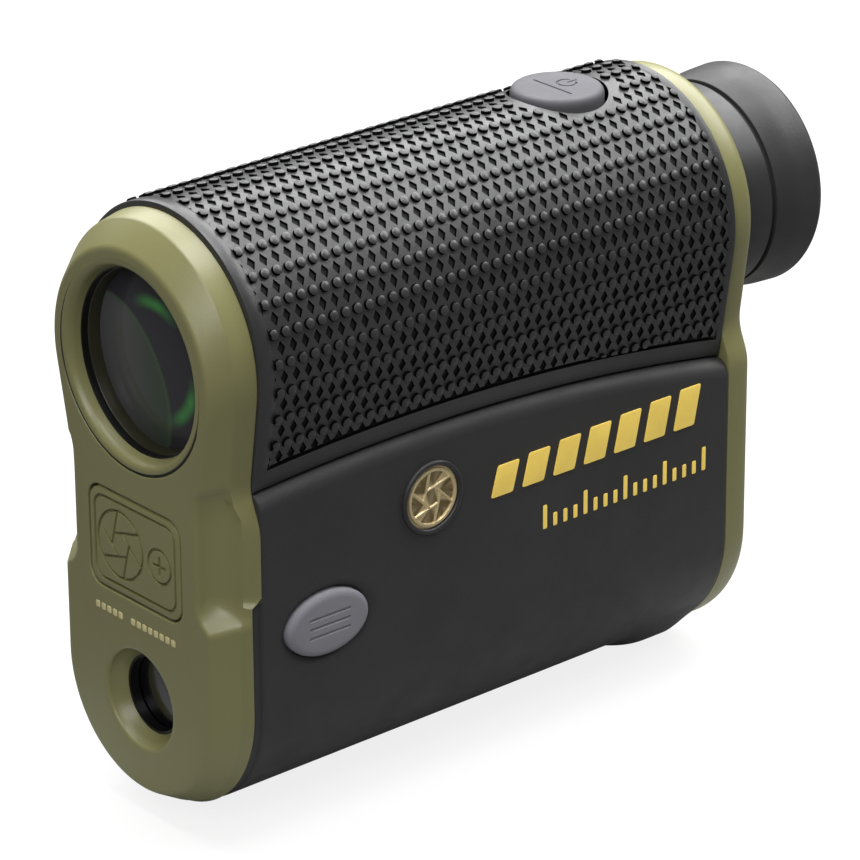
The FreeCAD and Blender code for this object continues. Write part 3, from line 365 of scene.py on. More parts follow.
SLEEVE_R = 17.1
SLEEVE_TURN = math.radians(99)
BODY_R = 16.4
LOW_DROP = 40.3
FRONT_END = 5.6
REAR_START = 79.0
ARCH_R = 264.0
ARCH_TOP = -12.3
ARCH_Y = 30.0
HOLE_Y = 65.2
FIELD_START = 7.1
FIELD_END = 78.2
FIELD_BASE = -0.1

STATIONS_TOP = 26
STATIONS_LOW = 26


def lobed_outline(top, waist, shoulder, low, inset=0.0):
    """The body's outline in the XZ plane: an upper arc, a waist, a shoulder and a lower arc.

    Every outline has as many points, so that outlines can be joined point by point."""
    radius, drop = top[0] - inset, top[1]
    waist = np.array([waist[0] - inset, -waist[1]])
    shoulder = np.array([shoulder[0] - inset, -shoulder[1]])
    away = math.hypot(waist[0], waist[1] + drop)
    lean = math.atan2(waist[0], waist[1] + drop) - math.acos(min(1.0, radius / away))
    turn = np.linspace(0, lean, STATIONS_TOP)
    upper = np.column_stack([radius * np.sin(turn), radius * np.cos(turn) - drop])
    low_r, low_drop = low[0] - inset, low[1]
    foot = np.array([low_r, -low_drop])
    waist_curve = corner_curve(upper[-1], waist, shoulder, 1.5, 6)
    shoulder_curve = corner_curve(waist, shoulder, foot, 1.3, 6)
    fall = np.linspace(0, 1, 48)[1:-1, None]
    side = shoulder_curve[-1] * (1 - fall) + foot * fall
    turn = np.linspace(math.pi / 2, math.pi, STATIONS_LOW)
    lower = np.column_stack([low_r * np.sin(turn), low_r * np.cos(turn) - low_drop])
    right = np.vstack([upper, waist_curve, shoulder_curve, side, lower])
    left = right[1:-1][::-1] * (-1, 1)
    return np.vstack([right, left])


def inward(outline, amount):
    """The outline moved inwards, by one amount or by one for each point."""
    run = np.roll(outline, -1, 0) - np.roll(outline, 1, 0)
    run /= np.linalg.norm(run, axis=1, keepdims=True)
    return outline + np.column_stack([run[:, 1], -run[:, 0]]) * np.reshape(amount, (-1, 1))


SKIN = ((16.4, 0.0), (14.7, 13.2), (16.4, 17.2), (16.4, 40.3))
FACE = ((14.2, 1.3), (12.0, 13.6), (13.4, 18.6), (13.4, 41.2))
FLAT_Z = -56.2


def standing(outline, y):
    """Outline points set upright at station y."""
    return np.column_stack([outline[:, 0], np.broadcast_to(y, len(outline)), outline[:, 1]])


def on_face(y):
    """Places plane points (x, z) at station y less their height."""
    return lambda flat, height=0: np.column_stack([flat[:, 0], y - height + 0 * flat[:, 0], flat[:, 1]])


def with_flat(rows):
    """Rows of points with the narrow flat along the underside."""
    for row in rows:
        row[:, 2] = np.maximum(row[:, 2], FLAT_Z)
    return rows


# ---------------------------------------------------------------- surfaces


class Look:
    """A material whose node tree is built one step at a time."""

    def __init__(self, name):
        self.material = bpy.data.materials.new(name)
        self.material.use_nodes = True
        self.tree = self.material.node_tree
        self.shader = self.tree.nodes["Principled BSDF"]
        self.place = self.tree.nodes.new("ShaderNodeTexCoord").outputs["Object"]

    def node(self, kind, **settings):
        made = self.tree.nodes.new(kind)
        for key, value in settings.items():
            setattr(made, key, value)
        return made

    def feed(self, socket, value):
        """Sets a socket to a value or joins it to another node's output."""
        if isinstance(value, bpy.types.NodeSocket):
            self.tree.links.new(value, socket)
        elif isinstance(value, (tuple, list)) and len(value) == 3 and socket.type == "RGBA":
            socket.default_value = (*value, 1)
        else:
            socket.default_value = value

    def set(self, **inputs):
        for name, value in inputs.items():
            self.feed(self.shader.inputs[name.replace("_", " ")], value)

    def noise(self, scale, detail, roughness=0.55, stretch=(1, 1, 1)):
        shift = self.node("ShaderNodeMapping")
        self.feed(shift.inputs["Vector"], self.place)
        shift.inputs["Scale"].default_value = stretch
        made = self.node("ShaderNodeTexNoise")
        self.feed(made.inputs["Vector"], shift.outputs["Vector"])
        made.inputs["Scale"].default_value = scale
        made.inputs["Detail"].default_value = detail
        made.inputs["Roughness"].default_value = roughness
        return made.outputs["Fac"]

    def remap(self, value, low, high, to_low=0.0, to_high=1.0):
        """Eases a value from one range into another."""
        made = self.node("ShaderNodeMapRange", interpolation_type="SMOOTHSTEP")
        self.feed(made.inputs["Value"], value)
        ends = {"From Min": low, "From Max": high, "To Min": to_low, "To Max": to_high}
        for key, number in ends.items():
            made.inputs[key].default_value = number
        return made.outputs["Result"]

    def math(self, operation, a, b=0.0):
        made = self.node("ShaderNodeMath", operation=operation)
        self.feed(made.inputs[0], a)
        self.feed(made.inputs[1], b)
        return made.outputs[0]

    def length(self, a, b):
        """The length of a line that runs a along one axis and b along another."""
        return self.math("SQRT", self.math("ADD", self.math("MULTIPLY", a, a), self.math("MULTIPLY", b, b)))

    def drawn(self):
        """The drawing frame's x, y and z at the shaded point."""
        split = self.node("ShaderNodeSeparateXYZ")
        self.feed(split.inputs[0], self.place)
        found = []
        for axis, start in zip("XYZ", ORIGIN.tolist()):
            found.append(self.math("DIVIDE", self.math("SUBTRACT", split.outputs[axis], start), MM))
        return found

    def pointiness(self):
        """Low in grooves and high along edges."""
        return self.node("ShaderNodeNewGeometry").outputs["Pointiness"]

    def mix(self, share, a, b):
        made = self.node("ShaderNodeMix", data_type="RGBA")
        self.feed(made.inputs["Factor"], share)
        self.feed(made.inputs["A"], a)
        self.feed(made.inputs["B"], b)
        return made.outputs["Result"]

    def bump(self, height, distance):
        made = self.node("ShaderNodeBump")
        made.inputs["Distance"].default_value = distance
        made.inputs["Strength"].default_value = 1.0
        self.feed(made.inputs["Height"], height)
        return made.outputs["Normal"]


def shade(colour, factor):
    return tuple(min(1.0, c * factor) for c in colour)


def moulded(
    name, colour, rough, grain, depth, mottle=0.12, patches=60, swing=0.06,
    metal=0.0, specular=0.5, coat=0.0, glow=0.0, crease_shade=1.0,
):
    """A moulded, painted or machined finish: patchy colour and gloss over a fine grain.

    crease_shade paints shade into the bottoms of narrow grooves, and glow adds a painted glow in the finish's
    own colour."""
    look = Look(name)
    broad = look.noise(patches, 3)
    fine = look.noise(grain, 3, 0.6)
    tone = look.remap(broad, 0.3, 0.7)
    base = look.mix(tone, shade(colour, 1 - mottle), shade(colour, 1 + mottle))
    speck = look.remap(fine, 0.35, 0.75)
    base = look.mix(look.math("MULTIPLY", speck, 0.35), base, shade(colour, 1 + 2.2 * mottle))
    if crease_shade < 1:
        # painted shade: low pointiness marks groove bottoms, which are darkened as if in shadow
        groove = look.remap(look.pointiness(), 0.40, 0.485, 1.0, 0.0)
        base = look.mix(groove, base, shade(colour, crease_shade))
    gloss = look.remap(look.noise(patches * 5, 4), 0.25, 0.75, rough - swing, rough + swing)
    look.set(
        Base_Color=base,
        Roughness=gloss,
        Metallic=metal,
        Specular_IOR_Level=specular,
        Coat_Weight=coat,
        Coat_Roughness=0.25,
        # painted light when glow is above nought: the finish glows in its own colour
        Emission_Color=colour,
        Emission_Strength=glow,
        Normal=look.bump(fine, depth),
    )
    return look.material


def studded(name, colour, rough):
    """Moulded rubber with painted shade: the little walls of its studs and the floors of its pits are painted
    dark and dull, as if in shadow, beside its bright tops.
    """
    look = Look(name)
    x, y, z = look.drawn()
    facing = look.node("ShaderNodeSeparateXYZ")
    look.feed(facing.inputs[0], look.node("ShaderNodeNewGeometry").outputs["True Normal"])
    below = look.math("LESS_THAN", z, SLEEVE_R * math.cos(SLEEVE_TURN))
    above = look.math("SUBTRACT", 1.0, below)
    away = look.length(x, z)

    def out(share, taper):
        """A part of the direction straight out of the sleeve: its arc above, its taper below."""
        round_arc = look.math("MULTIPLY", above, look.math("DIVIDE", share, away))
        return look.math("ADD", round_arc, look.math("MULTIPLY", below, taper))

    out_x = out(x, look.math("MULTIPLY", look.math("SIGN", x), math.sin(SLEEVE_TURN)))
    out_z = out(z, math.cos(SLEEVE_TURN))

    def along_out(side, up):
        return look.math("ADD", look.math("MULTIPLY", side, out_x), look.math("MULTIPLY", up, out_z))

    outward = along_out(facing.outputs["X"], facing.outputs["Z"])
    rise = look.math("SUBTRACT", along_out(x, z), SLEEVE_R + FIELD_BASE)
    ahead = look.remap(y, FIELD_START, FIELD_START + 0.2)
    field = look.math("MULTIPLY", ahead, look.remap(y, FIELD_END - 0.2, FIELD_END, 1.0, 0.0))
    # painted shade: walls that face away from the sleeve's outward direction, and the pit floors, are
    # darkened as if in shadow
    wall_shade = look.remap(outward, 0.62, 0.9, 1.0, 0.0)
    deep = look.remap(rise, -0.2, -0.1, 0.72, 0.0)
    dark = look.math("MULTIPLY", field, look.math("MAXIMUM", wall_shade, deep))
    unshaded = look.math("SUBTRACT", 1.0, dark)
    broad = look.remap(look.noise(50, 3), 0.3, 0.7)
    fine = look.noise(3600, 3, 0.6)
    top = look.mix(broad, shade(colour, 0.88), shade(colour, 1.12))
    gloss = look.remap(look.noise(250, 4), 0.25, 0.75, rough - 0.05, rough + 0.05)
    look.set(
        # painted shade: in the shaded share the colour falls to 0.12 of itself, roughness rises and specular
        # fades
        Base_Color=look.mix(unshaded, shade(colour, 0.12), top),
        Roughness=look.math("ADD", gloss, look.math("MULTIPLY", dark, 0.4)),
        Specular_IOR_Level=look.math("MULTIPLY", unshaded, 0.6),
        Normal=look.bump(fine, 0.00003),
    )
    return look.material


def brushed(name, colour, rough):
    """Turned metal with fine lines round it."""
    look = Look(name)
    lines = look.noise(900, 5, 0.7, (1, 12, 1))
    patch = look.remap(look.noise(120, 3), 0.3, 0.7)
    look.set(
        Base_Color=look.mix(patch, shade(colour, 0.85), shade(colour, 1.1)),
        Metallic=1.0,
        Roughness=look.remap(lines, 0.3, 0.7, rough - 0.08, rough + 0.12),
        Normal=look.bump(lines, 0.00001),
    )
    return look.material


def coated_glass():
    """A dark lens face with painted reflections: a grey sheen of painted reflection to the left of an inner
    arc, a faint green painted reflection along that arc, and painted green glints near the rim.
    """
    look = Look("coated_glass")
    across, _, height = look.drawn()
    up = look.math("ADD", height, OPTIC_DROP)
    turn = look.math("ARCTAN2", up, across)

    def gap(value, middle):
        return look.math("ABSOLUTE", look.math("SUBTRACT", value, middle))

    def painted_glint(radius, half, middle, spread):
        """A soft crescent of painted highlight at a radius, centred on an angle in degrees."""
        ring = look.remap(gap(look.length(across, up), radius), 0.0, half, 1.0, 0.0)
        swing = look.remap(gap(turn, math.radians(middle)), 0.0, math.radians(spread), 1.0, 0.0)
        return look.math("MULTIPLY", ring, swing)

    # painted reflections and highlights: these tones paint the room's reflections and the coating's glints
    # into the glass's colour
    dark, grey, green = (0.038, 0.035, 0.042), (0.108, 0.108, 0.112), (0.054, 0.072, 0.052)
    arc_reflection_green, glint_green = (0.06, 0.13, 0.055), (0.075, 0.36, 0.085)
    arc_x, arc_z, arc_r = -7.7, -5.3, 10.6
    from_arc = look.length(look.math("SUBTRACT", across, arc_x), look.math("SUBTRACT", up, arc_z))
    inside = look.remap(from_arc, arc_r, arc_r + 0.55, 1.0, 0.0)
    painted_veil = look.mix(look.remap(across, -8.0, 2.5), grey, green)
    painted_veil = look.mix(look.remap(gap(from_arc, arc_r), 0.0, 0.5, 0.5, 0.0), painted_veil, arc_reflection_green)
    # painted highlights: two bright green crescents near the rim
    glow = look.math("MAXIMUM", painted_glint(6.9, 1.1, 84, 40), painted_glint(7.5, 1.2, -36, 42))
    glow = look.math("MULTIPLY", glow, look.remap(look.noise(420, 3), 0.3, 0.7, 0.7, 1.0))
    look.set(
        Base_Color=look.mix(glow, look.mix(inside, dark, painted_veil), glint_green),
        Roughness=0.6,
        Specular_IOR_Level=0.2,
        Coat_Weight=0.6,
        Coat_Roughness=0.05,
        Coat_IOR=1.3,
        Normal=look.bump(look.noise(30, 2), 0.00001),
    )
    return look.material


def clear_glass(name, colour):
    """Clear optical glass with a faint tint that varies a little."""
    look = Look(name)
    patch = look.remap(look.noise(80, 2), 0.3, 0.7)
    look.set(
        Base_Color=look.mix(patch, colour, shade(colour, 1.05)),
        Roughness=look.remap(look.noise(400, 3), 0.3, 0.7, 0.03, 0.07),
        Transmission_Weight=1.0,
        IOR=1.45,
    )
    return look.material


def gold_paint():
    """Satin gold with a darker tone in its hollows."""
    look = Look("badge_gold")
    broad = look.remap(look.noise(500, 4), 0.3, 0.7)
    # darker towards the hollows, lighter on raised parts
    raised_share = look.remap(look.pointiness(), 0.44, 0.53)
    dark, light = (0.22, 0.16, 0.07), (0.80, 0.66, 0.38)
    base = look.mix(raised_share, dark, look.mix(broad, shade(light, 0.9), light))
    fine = look.noise(3500, 3)
    look.set(
        Base_Color=base,
        Metallic=0.6,
        Roughness=look.remap(fine, 0.3, 0.7, 0.34, 0.5),
        # painted light: a faint glow in the gold's own colour
        Emission_Color=base,
        Emission_Strength=0.03,
        Normal=look.bump(fine, 0.00002),
    )
    return look.material


OLIVE = (0.245, 0.236, 0.098)
LOOKS = {
    "olive_bezel": moulded(
        "olive_bezel", OLIVE, 0.38, 3200, 0.000012, 0.04, 40, 0.03, specular=0.62, crease_shade=0.3
    ),
    "grip_rubber": studded("grip_rubber", (0.038, 0.038, 0.039), 0.38),
    "smooth_armour": moulded("smooth_armour", (0.036, 0.036, 0.036), 0.6, 4200, 0.00003, 0.1, 40),
    "chassis_alloy": moulded("chassis_alloy", (0.22, 0.22, 0.23), 0.5, 2500, 0.00002, metal=0.9),
    "black_anodised": moulded("black_anodised", (0.008, 0.008, 0.009), 0.4, 3000, 0.00001, metal=0.3),
    "black_plastic": moulded("black_plastic", (0.032, 0.032, 0.033), 0.45, 3600, 0.00001, 0.1, 50),
    "eyecup_rubber": moulded("eyecup_rubber", (0.036, 0.036, 0.037), 0.48, 3800, 0.00002, 0.12, 60),
    "seal_rubber": moulded("seal_rubber", (0.015, 0.015, 0.015), 0.7, 3000, 0.00003),
    "coated_glass": coated_glass(),
    "clear_glass": clear_glass("clear_glass", (0.80, 0.86, 0.84)),
    "laser_window_glass": moulded(
        "laser_window_glass", (0.003, 0.003, 0.004), 0.1, 600, 0.000002, 0.2, 90, 0.03, coat=0.6
    ),
    "button_grey": moulded(
        "button_grey", (0.27, 0.266, 0.295), 0.72, 4200, 0.00002, 0.05, 70, specular=0.25
    ),
    "badge_gold": gold_paint(),
    "steel": brushed("steel", (0.55, 0.55, 0.56), 0.3),
    "board_green": moulded("board_green", (0.012, 0.09, 0.035), 0.4, 1500, 0.00001, 0.2, 200),
    "electronics_black": moulded("electronics_black", (0.02, 0.02, 0.022), 0.55, 2000, 0.00001),
    "can_metal": brushed("can_metal", (0.72, 0.70, 0.66), 0.34),
    "battery_jacket": moulded("battery_jacket", (0.05, 0.11, 0.20), 0.35, 1500, 0.000005, 0.1, 90),
}
# painted light: the gold marks glow in their own colour, though they give no light
MARK_GOLD = moulded(
    "mark_gold", (0.86, 0.62, 0.12), 0.45, 3000, 0.00001, 0.08, 200, 0.05, coat=0.2, glow=0.3
)
# painted light: the pale marks glow faintly in their own colour
MARK_PALE = moulded("mark_pale", (0.62, 0.55, 0.28), 0.5, 3000, 0.00001, 0.06, 200, glow=0.1)
# painted shade: a darker copy of the keys' grey, for the key on top, which the light from above would
# otherwise show too bright
SHADED_BUTTON_GREY = moulded("button_grey_shaded", (0.112, 0.110, 0.122), 0.6, 4200, 0.00002, 0.05, 70, specular=0.35)
# painted reflection: the dark barrel wall is tinted olive, standing in for the olive lip ring's reflection in
# it
BARREL_OLIVE_REFLECTION = moulded("lens_barrel", (0.030, 0.029, 0.016), 0.3, 2500, 0.000008, 0.05, 70, 0.05)


def dress_cad_nodes():
    """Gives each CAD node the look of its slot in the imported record."""
    slots = {row["node"]: row["material_slot"] for row in frame["record"]["subparts"]}
    for name, node in frame["nodes"].items():
        look = LOOKS.get(slots.get(name, ""), LOOKS["electronics_black"])
        node.data.materials.clear()
        node.data.materials.append(look)


# ---------------------------------------------------------------- olive ends

SCOOP_R = 5.1
SCOOP_X = 16.4
SCOOP_Y = -1.3
SCOOP_TOP = -12.9
SCOOP_LOW = -28.3
LIP_Z = -26.4
OBJECTIVE_R = 13.08
LASER_DROP = 43.1
LASER_FUNNEL_R = 6.1
LASER_BORE_R = 4.9
INLAY_DROP = 24.2
INLAY_HALF = (8.45, 6.2)
INLAY_CORNER = 2.0
REAR_FACE = 82.8


def front_rows():
    """Rows of points from the flat of the face, round the bevel and the scoops, to the armour."""
    face, band, skin = lobed_outline(*FACE), lobed_outline(*SKIN, inset=0.55), lobed_outline(*SKIN)
    a = standing(inward(face, 1.3), 0.0)
    b, c, d = standing(face, 0.0), standing(band, 2.8), standing(skin, FRONT_END)
    drop = skin[:, 1]
    lip = 1 - smooth(LIP_Z - 0.25, LIP_Z + 0.25, drop)
    rows = [a] + corner_curve(a, b, c, 0.5, 7) + corner_curve(b, c, d, 0.3, 6)
    for high, low, in_high, in_low in (
        (5.46, 4.06, 0.0, 0.0),
        (5.57, 4.17, 0.05, 0.05),
        (5.6, 4.2, 0.16, 0.16),
        (5.6, 4.2, 0.7, 0.4),
        (5.6, 5.6, 0.7, 0.45),
    ):
        inset = in_high * (1 - lip) + in_low * lip
        rows.append(standing(inward(skin, inset), high * (1 - lip) + low * lip))

    edge = SCOOP_X - math.sqrt(SCOOP_R**2 - SCOOP_Y**2)
    steps = [(edge - 1.3, 0.0)]
    start = math.asin(-SCOOP_Y / SCOOP_R)
    corner = np.array([edge, 0.0])
    climb = np.array([SCOOP_X - SCOOP_R * math.cos(start + 0.2), SCOOP_Y + SCOOP_R * math.sin(start + 0.2)])
    steps += [tuple(p) for p in corner_curve(np.array([edge - 1, 0.0]), corner, climb, 0.7, 7)]
    for turn in np.linspace(start + 0.24, 1.36, 6):
        steps.append((SCOOP_X - SCOOP_R * math.cos(turn), SCOOP_Y + SCOOP_R * math.sin(turn)))
    middle = np.abs(drop - (SCOOP_TOP + SCOOP_LOW) / 2)
    half = (SCOOP_TOP - SCOOP_LOW) / 2
    weight = (1 - np.clip((middle - half + 2.6) / 3.1, 0, 1) ** 2) ** 0.7
    side = np.sign(skin[:, 0])
    for row, (x, y) in zip(rows, steps):
        pull = weight * (np.abs(row[:, 0]) > x)
        row[:, 0] += (side * x - row[:, 0]) * pull
        row[:, 1] += (y - row[:, 1]) * pull
    return with_flat(rows)


def hole_steps(outline_at, rim, depth):
    """Rows down a hole with a rounded rim. outline_at gives the outline at an offset outwards."""
    rows = []
    for turn in np.linspace(0, math.pi / 2, 6):
        rows.append(standing(outline_at(rim * (1 - math.sin(turn))), rim * (1 - math.cos(turn))))
    rows.append(standing(outline_at(0), depth))
    return rows


def inlay_outline(grow):
    """The outline of the panel in the face, grown by an amount."""
    half_x, half_y = INLAY_HALF
    return box_outline(half_x + grow, half_y + grow, INLAY_CORNER + grow, 0, -INLAY_DROP)


def make_front_bezel():
    """The olive end frame, with the objective's bore, the panel's pocket and the laser's funnel."""
    shell = Shell()
    rows = front_rows()
    shell.skin(rows)

    def objective_at(grow):
        return circle(OBJECTIVE_R + grow, 96, 0, -OPTIC_DROP)

    def pocket_at(grow):
        return inlay_outline(0.3 + grow)

    def laser_at(grow):
        return circle(LASER_FUNNEL_R + grow, 72, 0, -LASER_DROP)

    objective = hole_steps(objective_at, 0.14, FRONT_END)
    inlay = hole_steps(pocket_at, 0.16, 1.1)
    laser = hole_steps(laser_at, 0.5, 0.5)
    for inset, y in ((0.6, 1.35), (1.12, 2.1), (1.2, 2.3), (1.2, FRONT_END)):
        laser.append(standing(laser_at(-inset), y))
    holes = [h[0][:, [0, 2]] for h in (objective, inlay, laser)]
    support = [(objective_at(0.5), True), (pocket_at(0.4), True), (laser_at(0.9), True)]
    flat, triangles = triangulate(rows[0][:, [0, 2]], holes, support)
    shell.net(flat, triangles, on_face(0.0))
    for hole in (objective, inlay, laser):
        shell.skin(hole)
    shell.lid(shell.add(inlay[-1]))
    back = [objective[-1][:, [0, 2]], laser[-1][:, [0, 2]]]
    flat, triangles = triangulate(rows[-1][:, [0, 2]], back)
    shell.net(flat, triangles, on_face(FRONT_END))
    shell.build("bezel_front", "casing", "olive_bezel", ["front_bezel"])


def make_inlay():
    """The panel in the face: a border groove, an iris sign in a ring and a circled plus."""
    shell = Shell()
    top, foot = 0.04, 1.05
    sign_x, plus_x, plus_z = -2.75, 4.6, -INLAY_DROP - 0.2
    strokes = [
        Stroke(box_outline(7.5, 5.25, 1.6, 0, -INLAY_DROP), 0.4, -0.4, True),
        Stroke(circle(4.2, 48, sign_x, -INLAY_DROP), 0.38, -0.38, True),
        Stroke(circle(2.1, 32, plus_x, plus_z), 0.38, -0.38, True),
        Stroke([(plus_x - 1.1, plus_z), (plus_x + 1.1, plus_z)], 0.42, -0.38),
        Stroke([(plus_x, plus_z - 1.1), (plus_x, plus_z + 1.1)], 0.42, -0.38),
    ]
    strokes += iris_strokes(4.0, 0.36, -0.36, sign_x, -INLAY_DROP)
    embossed(shell, inlay_outline(-0.23), [], strokes, on_face(top))
    steps = ((-0.23, top), (-0.07, top + 0.06), (0, top + 0.18), (0, foot))
    numbers = shell.skin([standing(inlay_outline(grow), y) for grow, y in steps])
    shell.lid(numbers[-1])
    shell.build("inlay_panel", "casing", "olive_bezel", ["front_inlay"])


def slab(shell, outline, place, low, high, rim):
    """A thin raised plate with a rounded upper edge. place turns plane points and a height into space."""
    centre = outline.mean(0)
    rows = [place(outline, low)]
    for inset, drop in ((0.0, rim), (0.3 * rim, 0.3 * rim), (rim, 0.0)):
        fit = 1 - inset / np.ptp(outline, axis=0).min() * 2
        rows.append(place(centre + (outline - centre) * fit, high - drop))
    numbers = shell.skin(rows)
    shell.lid(numbers[0])
    shell.lid(numbers[-1])


def make_face_marks():
    """Two groups of small pale dashes in a line above the laser aperture."""
    shell = Shell()
    pitch, z = 1.08, -33.3
    for start, count in ((-7.4, 5), (-0.7, 8)):
        for k in range(count):
            outline = box_outline(0.38, 0.42, 0.16, start + pitch * k, z, 3)
            slab(shell, outline, on_face(0.0), -0.1, 0.06, 0.05)
    shell.build("face_marks", "casing", look=MARK_PALE)


def make_rear_bezel():
    """The olive rear plate, with bores for the eyepiece and the battery and four screw recesses."""
    shell = Shell()
    skin = lobed_outline(*SKIN)
    joint = ((0.0, 0.7), (0.0, 0.14), (0.04, 0.04), (0.16, 0.0))
    bevel = (
        (1.6, 0.01), (1.1, 0.07), (0.7, 0.18), (0.4, 0.33), (0.18, 0.54), (0.05, 0.8), (0.0, 1.1), (0.0, 1.6)
    )
    profile = [(REAR_START + y, inset) for y, inset in joint]
    profile += [(REAR_FACE - y, inset) for y, inset in bevel]
    rows = with_flat([standing(inward(skin, inset), y) for y, inset in profile])
    shell.skin(rows)
    places = [(0, -1.0, 12.35, 96), (0, -34.0, 9.7, 96)]
    places += [(side * 11, -18.5, 2.0, 36) for side in (-1, 1)]
    places += [(side * 9, -49.0, 2.0, 36) for side in (-1, 1)]
    holes = []
    for x, z, radius, count in places:
        rows_down = hole_steps(lambda grow: circle(radius + grow, count, x, z), 0.25, 0.0)
        for row in rows_down:
            row[:, 1] = REAR_FACE - row[:, 1]
        depth = 1.6 if radius < 3 else 2.6
        rows_down[-1][:, 1] = REAR_FACE - depth
        shell.skin(rows_down)
        if radius < 3:
            shell.lid(shell.add(rows_down[-1]))
        holes.append(rows_down)
    flat, triangles = triangulate(rows[-1][:, [0, 2]], [h[0][:, [0, 2]] for h in holes])
    shell.net(flat, triangles, on_face(REAR_FACE))
    back = [h[-1][:, [0, 2]] for h in holes[:2]]
    flat, triangles = triangulate(rows[0][:, [0, 2]], back)
    shell.net(flat, triangles, on_face(REAR_START))
    shell.build("bezel_rear", "casing", "olive_bezel", ["rear_bezel"])


# ---------------------------------------------------------------- upper armour

ROW_PITCH = 3.417
ROW_START = 0.612
STUD_PITCH = 1.74
STUD_START = 23.75
STUD_RINGS = ((0.64, 0.0), (0.59, 0.38), (0.42, 0.47), (0.16, 0.50))
PIT_HALF_Y = 0.56
PIT_HALF_S = 0.88
PIT_DEPTH = 0.26
PIT_FLOOR = 0.84
STUD_CLEAR = 7.0
FRONT_SHARE = 0.68
REAR_SHARE = 0.45
EDGE_LOOPS = ((0.0, -0.5), (0.05, -0.25), (0.18, -0.08), (0.42, 0.0), (2.5, 0.0), (2.6, -0.38))
FIELD_LOOPS = ((2.85, -0.38), (2.95, FIELD_BASE))
SLEEVE_WALL = 2.1


def arch_z(y):
    """Height of the arched joint between the two armours at station y."""
    return ARCH_TOP - ARCH_R + np.sqrt(ARCH_R**2 - (y - ARCH_Y) ** 2)


SLEEVE_REACH = SLEEVE_R * SLEEVE_TURN
TAPER_START = (SLEEVE_R * math.sin(SLEEVE_TURN), SLEEVE_R * math.cos(SLEEVE_TURN))


def sleeve_edge(y):
    """Arc length from the top line down to the arched joint."""
    return SLEEVE_REACH + (TAPER_START[1] - arch_z(y)) / math.sin(SLEEVE_TURN)


def sleeve_point(flat, height):
    """Points on the sleeve from (station y, signed arc length), raised by a height."""
    y, s = flat[:, 0], flat[:, 1]
    side, run = np.sign(s), np.abs(s)
    turn = np.minimum(run, SLEEVE_REACH) / SLEEVE_R
    beyond = np.maximum(run - SLEEVE_REACH, 0)
    x = (SLEEVE_R + height) * np.sin(turn) + beyond * math.cos(SLEEVE_TURN)
    z = (SLEEVE_R + height) * np.cos(turn) - beyond * math.sin(SLEEVE_TURN)
    return np.column_stack([side * x, y, z])


def field_loop(offset):
    """The outline of the sleeve, moved inwards by offset, in (station, arc length)."""
    spacing = 0.9
    low, high = FRONT_END + FRONT_SHARE * offset, REAR_START - REAR_SHARE * offset
    points = []
    reach = sleeve_edge(low) - offset
    front = np.linspace(reach, -reach, int(2 * reach / spacing))
    points += [(low, s) for s in front[:-1]]
    stations = np.linspace(low, high, int((high - low) / (spacing * 1.6)))
    points += [(y, -(sleeve_edge(y) - offset)) for y in stations[:-1]]
    reach = sleeve_edge(high) - offset
    rear = np.linspace(-reach, reach, int(2 * reach / spacing))
    points += [(high, s) for s in rear[:-1]]
    points += [(y, sleeve_edge(y) - offset) for y in stations[::-1][:-1]]
    return np.array(points)


def edge_distance(flat):
    """Distance inwards from the sleeve's edge; the border is narrower at the front."""
    return np.minimum(*end_and_side(flat))


def end_and_side(flat):
    y, s = flat[:, 0], flat[:, 1]
    ends = np.minimum((y - FRONT_END) / FRONT_SHARE, (REAR_START - y) / REAR_SHARE)
    return ends, sleeve_edge(y) - np.abs(s)


def hole_loop(radius):
    """The power button's hole in (station, arc length)."""
    ring = circle(radius, 72)
    return np.column_stack([HOLE_Y + ring[:, 0], SLEEVE_R * np.arcsin(ring[:, 1] / SLEEVE_R)])


def lattice_relief(flat):
    """Height of the studs and pits at plane points of the field."""
    y, s = flat[:, 0], flat[:, 1]
    row = np.round((s - ROW_START) / ROW_PITCH)
    along = np.round((y - STUD_START) / STUD_PITCH)
    gap = np.hypot(
        y - STUD_START - along * STUD_PITCH,
        s - ROW_START - row * ROW_PITCH,
    )
    radii = [r for r, h in STUD_RINGS][::-1]
    heights = [h for r, h in STUD_RINGS][::-1]
    to_hole = np.hypot(STUD_START + along * STUD_PITCH - HOLE_Y, ROW_START + row * ROW_PITCH)
    raised = np.interp(gap, radii, heights) * (to_hole > STUD_CLEAR)
    row = np.round((s - ROW_START) / ROW_PITCH - 0.5) + 0.5
    along = np.round((y - STUD_START) / STUD_PITCH - 0.5) + 0.5
    share = (
        np.abs(y - STUD_START - along * STUD_PITCH) / PIT_HALF_Y
        + np.abs(s - ROW_START - row * ROW_PITCH) / PIT_HALF_S
    )
    to_hole = np.hypot(STUD_START + along * STUD_PITCH - HOLE_Y, ROW_START + row * ROW_PITCH)
    sunk = np.interp(share, (PIT_FLOOR, 1.0), (-PIT_DEPTH, 0.0)) * (to_hole > STUD_CLEAR)
    return raised + sunk


def sleeve_height(flat):
    """Height of the sleeve: a smooth border, a groove along the arched side, and the lattice."""
    ends, side = end_and_side(flat)
    distance = np.minimum(ends, side)
    grooved, plain = EDGE_LOOPS + FIELD_LOOPS, EDGE_LOOPS[:-1] + FIELD_LOOPS[1:]
    border = np.interp(distance, [d for d, h in plain], [h for d, h in plain])
    groove = np.interp(distance, [d for d, h in grooved], [h for d, h in grooved]) - border
    border = border + groove * smooth(-0.4, 0.4, ends - side)
    share = smooth(FIELD_LOOPS[0][0] + 0.02, FIELD_LOOPS[1][0], distance)
    return border + lattice_relief(flat) * share


